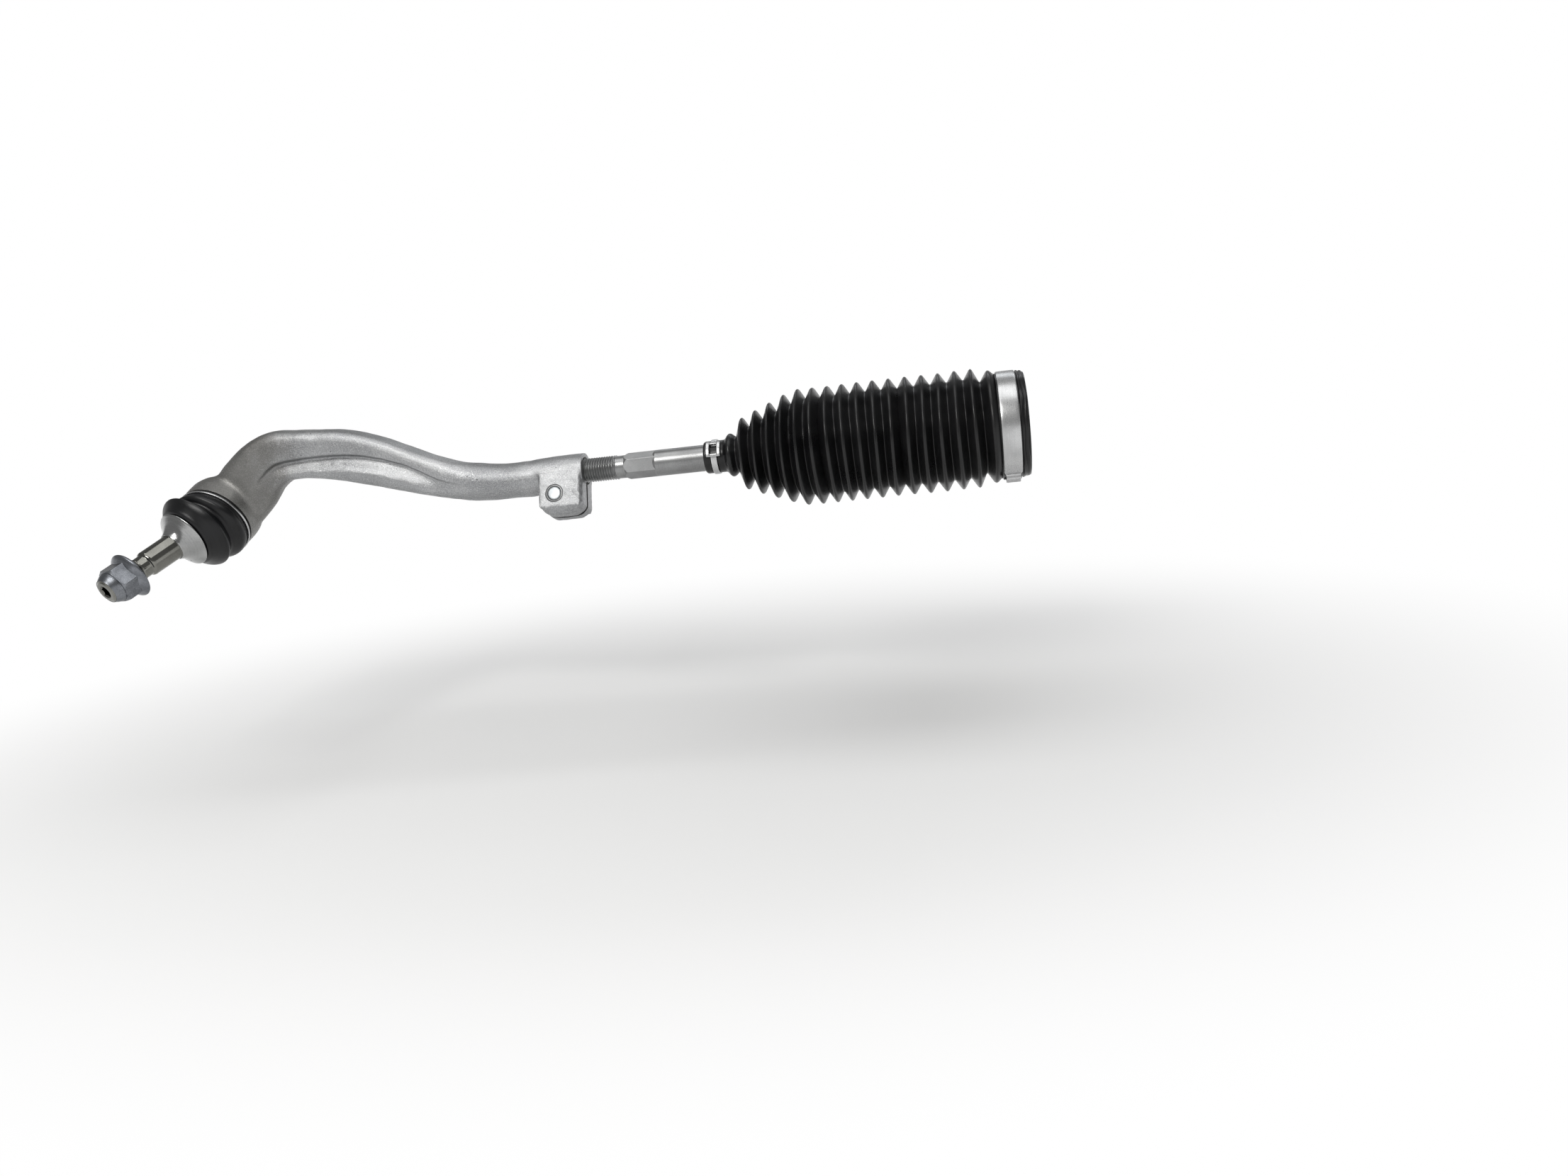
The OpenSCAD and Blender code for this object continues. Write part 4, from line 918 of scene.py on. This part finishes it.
def boot_rows(first, last):
    """Outside and inside rows of the boot between two stations. Each row is (radius, place, share of the tilt), and the
    inside lies one wall in, square to the outline."""
    table = BOOT_OUTSIDE.copy()
    table[:, 1] = BOOT_A + BOOT_L * table[:, 1]
    smooth = flowing(table, 8)
    last_station = len(table) - 1
    where = np.append(np.repeat(np.arange(last_station), 8) + np.tile(np.arange(8) / 8, last_station), last_station)
    direction = np.gradient(smooth[:, :2], axis=0)
    direction /= np.linalg.norm(direction, axis=1, keepdims=True) + 1e-9
    inner = smooth.copy()
    inner[:, 0] -= BOOT_WALL * direction[:, 1]
    inner[:, 1] += BOOT_WALL * direction[:, 0]
    inner[:, 0] = np.where(where < 2.2, np.maximum(inner[:, 0], 20.3), inner[:, 0])
    chosen = (where >= first) & (where <= last)
    return np.vstack([smooth[chosen], inner[chosen][::-1]])


def boot_piece(name, first, last):
    """A length of the boot. Each row is a circle about the housing's axis, turned about the ball by its share of the
    stud's tilt, so that the folds lean over gradually. The folds sag a little between five soft pleats."""
    rows = boot_rows(first, last)
    angle = np.linspace(0, 2 * math.pi, 144, endpoint=False)[None, :]
    r, a, share = (rows[:, k:k + 1] for k in range(3))
    q = np.radians(STUD_LEAN) * share
    r = r + 0.10 * step(r, 18, 22) * np.sin(5 * angle + 0.6) - 0.08 * step(r, 18, 22)
    x, y = r * np.cos(angle), r * np.sin(angle)
    grid = np.stack([x * np.cos(q) + a * np.sin(q), y, -x * np.sin(q) + a * np.cos(q)], -1)
    return grid_object(name, at((TOWARDS_LEAN, BALL), grid), round_rows=True)


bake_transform(shown(boot_piece("boot_lower_fold", 0, WAIST), None, "boot_rubber", material=boot_skin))
upper = shown(boot_piece("boot_upper_fold", WAIST, 18), None, "boot_rubber", "dust_boot", material=boot_skin)
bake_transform(upper)


def make_stud():
    ball = ball_outline(13, 0, 180, 30.3)
    outline = np.vstack([ball, rounded([
        (6.5, 11.6, 0.4), (6.5, 20, 1), (8.5, 25, 1), (8.5, 32.55), (7.9, 32.6), (7.9, 38.5, 0.1), (7.55, 38.7, 0.2),
        (7.5, 56.0, 0.8), (7.1, 56.9, 0.3), (6.3, 57.6, 0.3), (6.3, 62.6, 0.3), (THREAD_R, 63.6, 0.3),
        (THREAD_R, 83.7, 0.4), (5.75, 84.9, 0.4), (0, 84.9)])])
    stud = turned("ball_stud_turned", outline, STUD, around=112, thread=(62.8, 84.2, PITCH, GROOVE))
    recess = prism("recess", hexagon(6, 0.15), 78.9, 90, STUD)
    mouth = turned("mouth", [(0, 84.0), (3.05, 84.0), (4.1, 85.1), (0, 85.1)], STUD)
    return cut(stud, recess, mouth)


shown(make_stud(), "stud", "polished_steel", "ball_stud", material=polished, edge=26)
dish_outside = flowing([(16.6, 29.42), (17.0, 29.8), (16.75, 30.3), (15.5, 31.2), (13.9, 32.35), (11.9, 33.8),
                        (10.2, 35.4), (9.0, 37.0), (8.45, 38.1), (8.15, 38.6)], 7)
dish_inside = [(7.94, 38.6), (7.94, 32.64), (11.6, 32.64), (13.6, 31.3), (15.1, 29.42)]
shown(turned("dished_collar", np.vstack([dish_outside, dish_inside]), STUD, around=144, closed=True),
      "stud", "collar_metal", "stud_collar", material=dish_metal)


def make_nut():
    """Flange and dome are turned, the hexagon is cut to a cone at its upper corners, and the two are joined."""
    body = turned("flange_nut", rounded([
        (7.06, 66.8, 0.3), (13.1, 66.95, 0.4), (13.6, 67.6, 0.5), (13.55, 68.3, 0.5), (12.4, 69.5, 1.0),
        (10.3, 70.9, 0.6), (9.3, 71.5, 0.3), (9.3, 79.3, 0.3), (9.4, 79.6, 0.5), (9.1, 80.6, 1.0), (8.3, 82.3, 1.2),
        (7.45, 83.6, 0.8), (7.1, 84.2, 0.2), (7.06, 84.1, 0.1), (7.06, 81.0), (8.35, 81.0), (8.35, 77.2),
        (7.06, 77.2)]), STUD, around=128, closed=True)
    hexed = prism("hexagon", hexagon(19.5, 0.3, 30), 68.9, 79.6, STUD)
    cone = turned("cone", [(0, 68), (11.4, 68), (11.4, 77.6), (9.95, 79.7), (0, 79.7)], STUD, around=128)
    cut(hexed, cone, operation="INTERSECT")
    cut(hexed, turned("core", [(0, 60), (9.0, 60), (9.0, 90), (0, 90)], STUD, around=128))
    return cut(body, hexed, operation="UNION")


shown(make_nut(), "nut", "nut_steel", "stud_nut", material=nut_metal, edge=30)

# Small hidden solids keep their own shape and only get a finish
for name, finish in (("rack_ball_seat", cup_plastic), ("rack_seat_ring", ring_metal), ("outer_ball_seat", cup_plastic),
                     ("boot_stud_ring", ring_metal), ("nut_locking_ring", nylon)):
    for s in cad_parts[name].material_slots:
        s.material = finish


# Floor, light and camera

# How far the floor lies under the part at rest, and the radii in metres between which it fades to white
SWING_ROOM = 138.0
FADE = (0.17, 0.40)


def make_floor():
    """A pale floor, low enough for the arm to swing down without touching it. Far from the part it fades into the white
    background, and it keeps the shadow near the part. It throws less light back up than it shows, so that undersides
    stay dark. From below it is clear, so that it hides nothing."""
    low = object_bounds()[0][2] - SWING_ROOM * MM
    mesh = bpy.data.meshes.new("floor")
    corners = [(x * 6.0, y * 6.0, low) for x, y in ((-1, -1), (1, -1), (1, 1), (-1, 1))]
    mesh.from_pydata(corners, [], [(0, 1, 2, 3)])
    floor = in_scene("floor", mesh)
    m, t, shader, coords = new_finish("Floor paper", 0.0, 0.1)
    shader.inputs["Roughness"].default_value = 0.9
    pale = mixed(t, noise(t, coords, 3.0, 2.0), (0.955, 0.955, 0.95), (0.97, 0.97, 0.97))
    white = node(t, "ShaderNodeEmission", {"Color": (1, 1, 1, 1), "Strength": 1.0}).outputs[0]
    path = t.nodes.new("ShaderNodeLightPath").outputs
    seen = reckon(t, "MAXIMUM", path["Is Glossy Ray"], path["Is Transmission Ray"])
    seen = reckon(t, "MAXIMUM", path["Is Camera Ray"], seen)
    t.links.new(mixed(t, seen, (0.42, 0.42, 0.42), pale), shader.inputs["Base Color"])
    oval = {"Vector": coords, "Location": (0.105, 0.0, 0.0), "Scale": (0.55, 1.0, 1.0)}
    centred = node(t, "ShaderNodeMapping", oval).outputs["Vector"]
    far = node(t, "ShaderNodeVectorMath", {0: centred}, operation="LENGTH").outputs["Value"]
    share = reckon(t, "MULTIPLY", seen, spread(t, far, *FADE))
    mix = node(t, "ShaderNodeMixShader", {0: share, 1: shader.outputs[0], 2: white})
    below = t.nodes.new("ShaderNodeNewGeometry").outputs["Backfacing"]
    clear = t.nodes.new("ShaderNodeBsdfTransparent").outputs[0]
    sheet = node(t, "ShaderNodeMixShader", {0: below, 1: mix.outputs[0], 2: clear})
    t.links.new(sheet.outputs[0], t.nodes["Material Output"].inputs["Surface"])
    mesh.materials.append(m)


def area_lamp(name, place, target, size, energy, colour=(1, 1, 1)):
    """A rectangular lamp at a place, turned to its target. Sizes are in metres and energy in watts."""
    data = bpy.data.lights.new(name, "AREA")
    data.shape, data.size, data.size_y = "RECTANGLE", size[0], size[1]
    data.energy, data.color = energy, colour
    z = (np.array(place) - np.array(target)) / np.linalg.norm(np.array(place) - np.array(target))
    x = np.cross((0, 1, 0) if abs(z[2]) > 0.9 else (0, 0, 1), z)
    x /= np.linalg.norm(x)
    matrix = np.eye(4)
    matrix[:3, :3], matrix[:3, 3] = np.column_stack([x, np.cross(z, x), z]), place
    in_scene(name, data).matrix_world = Matrix(matrix.tolist())


make_floor()
area_lamp("overhead", (-0.15, -0.1, 1.1), (-0.2, 0, 0), (1.5, 0.7), 5.5)
area_lamp("key", (-0.5, -0.9, 0.9), (-0.25, 0, 0), (0.7, 0.4), 8.5, (1.0, 0.99, 0.97))
area_lamp("back", (0.0, 0.9, 0.7), (-0.2, 0, 0), (1.0, 0.3), 1.4, (0.94, 0.97, 1.0))

world = bpy.data.worlds.new("studio")
bpy.context.scene.world = world
world.use_nodes = True
sky = world.node_tree
background = sky.nodes["Background"]
path = sky.nodes.new("ShaderNodeLightPath").outputs
seen = reckon(sky, "MAXIMUM", path["Is Camera Ray"], path["Is Transmission Ray"])
direction = sky.nodes.new("ShaderNodeTexCoord").outputs["Generated"]
up = node(sky, "ShaderNodeSeparateXYZ", {"Vector": direction}).outputs["Z"]
in_metal = reckon(sky, "MULTIPLY", path["Is Glossy Ray"], spread(sky, up, 0.04, 0.22, 1.0, 0.25))
strength = reckon(sky, "MAXIMUM", reckon(sky, "MAXIMUM", seen, in_metal), 0.17)
background.inputs["Color"].default_value = (1, 1, 1, 1)
sky.links.new(strength, background.inputs["Strength"])

camera_data = bpy.data.cameras.new("camera")
camera_data.lens, camera_data.sensor_width, camera_data.sensor_fit = 27.05, 36.0, "HORIZONTAL"
camera_data.clip_start = 0.01
camera = in_scene("camera", camera_data)
camera.matrix_world = Matrix(((0.9851, 0.0889, 0.1470, 0.0234), (0.1132, 0.3079, -0.9447, -0.6522),
                              (-0.1293, 0.9473, 0.2932, 0.1209), (0, 0, 0, 1)))
bpy.context.scene.camera = camera
bpy.context.scene.view_settings.view_transform = "Standard"
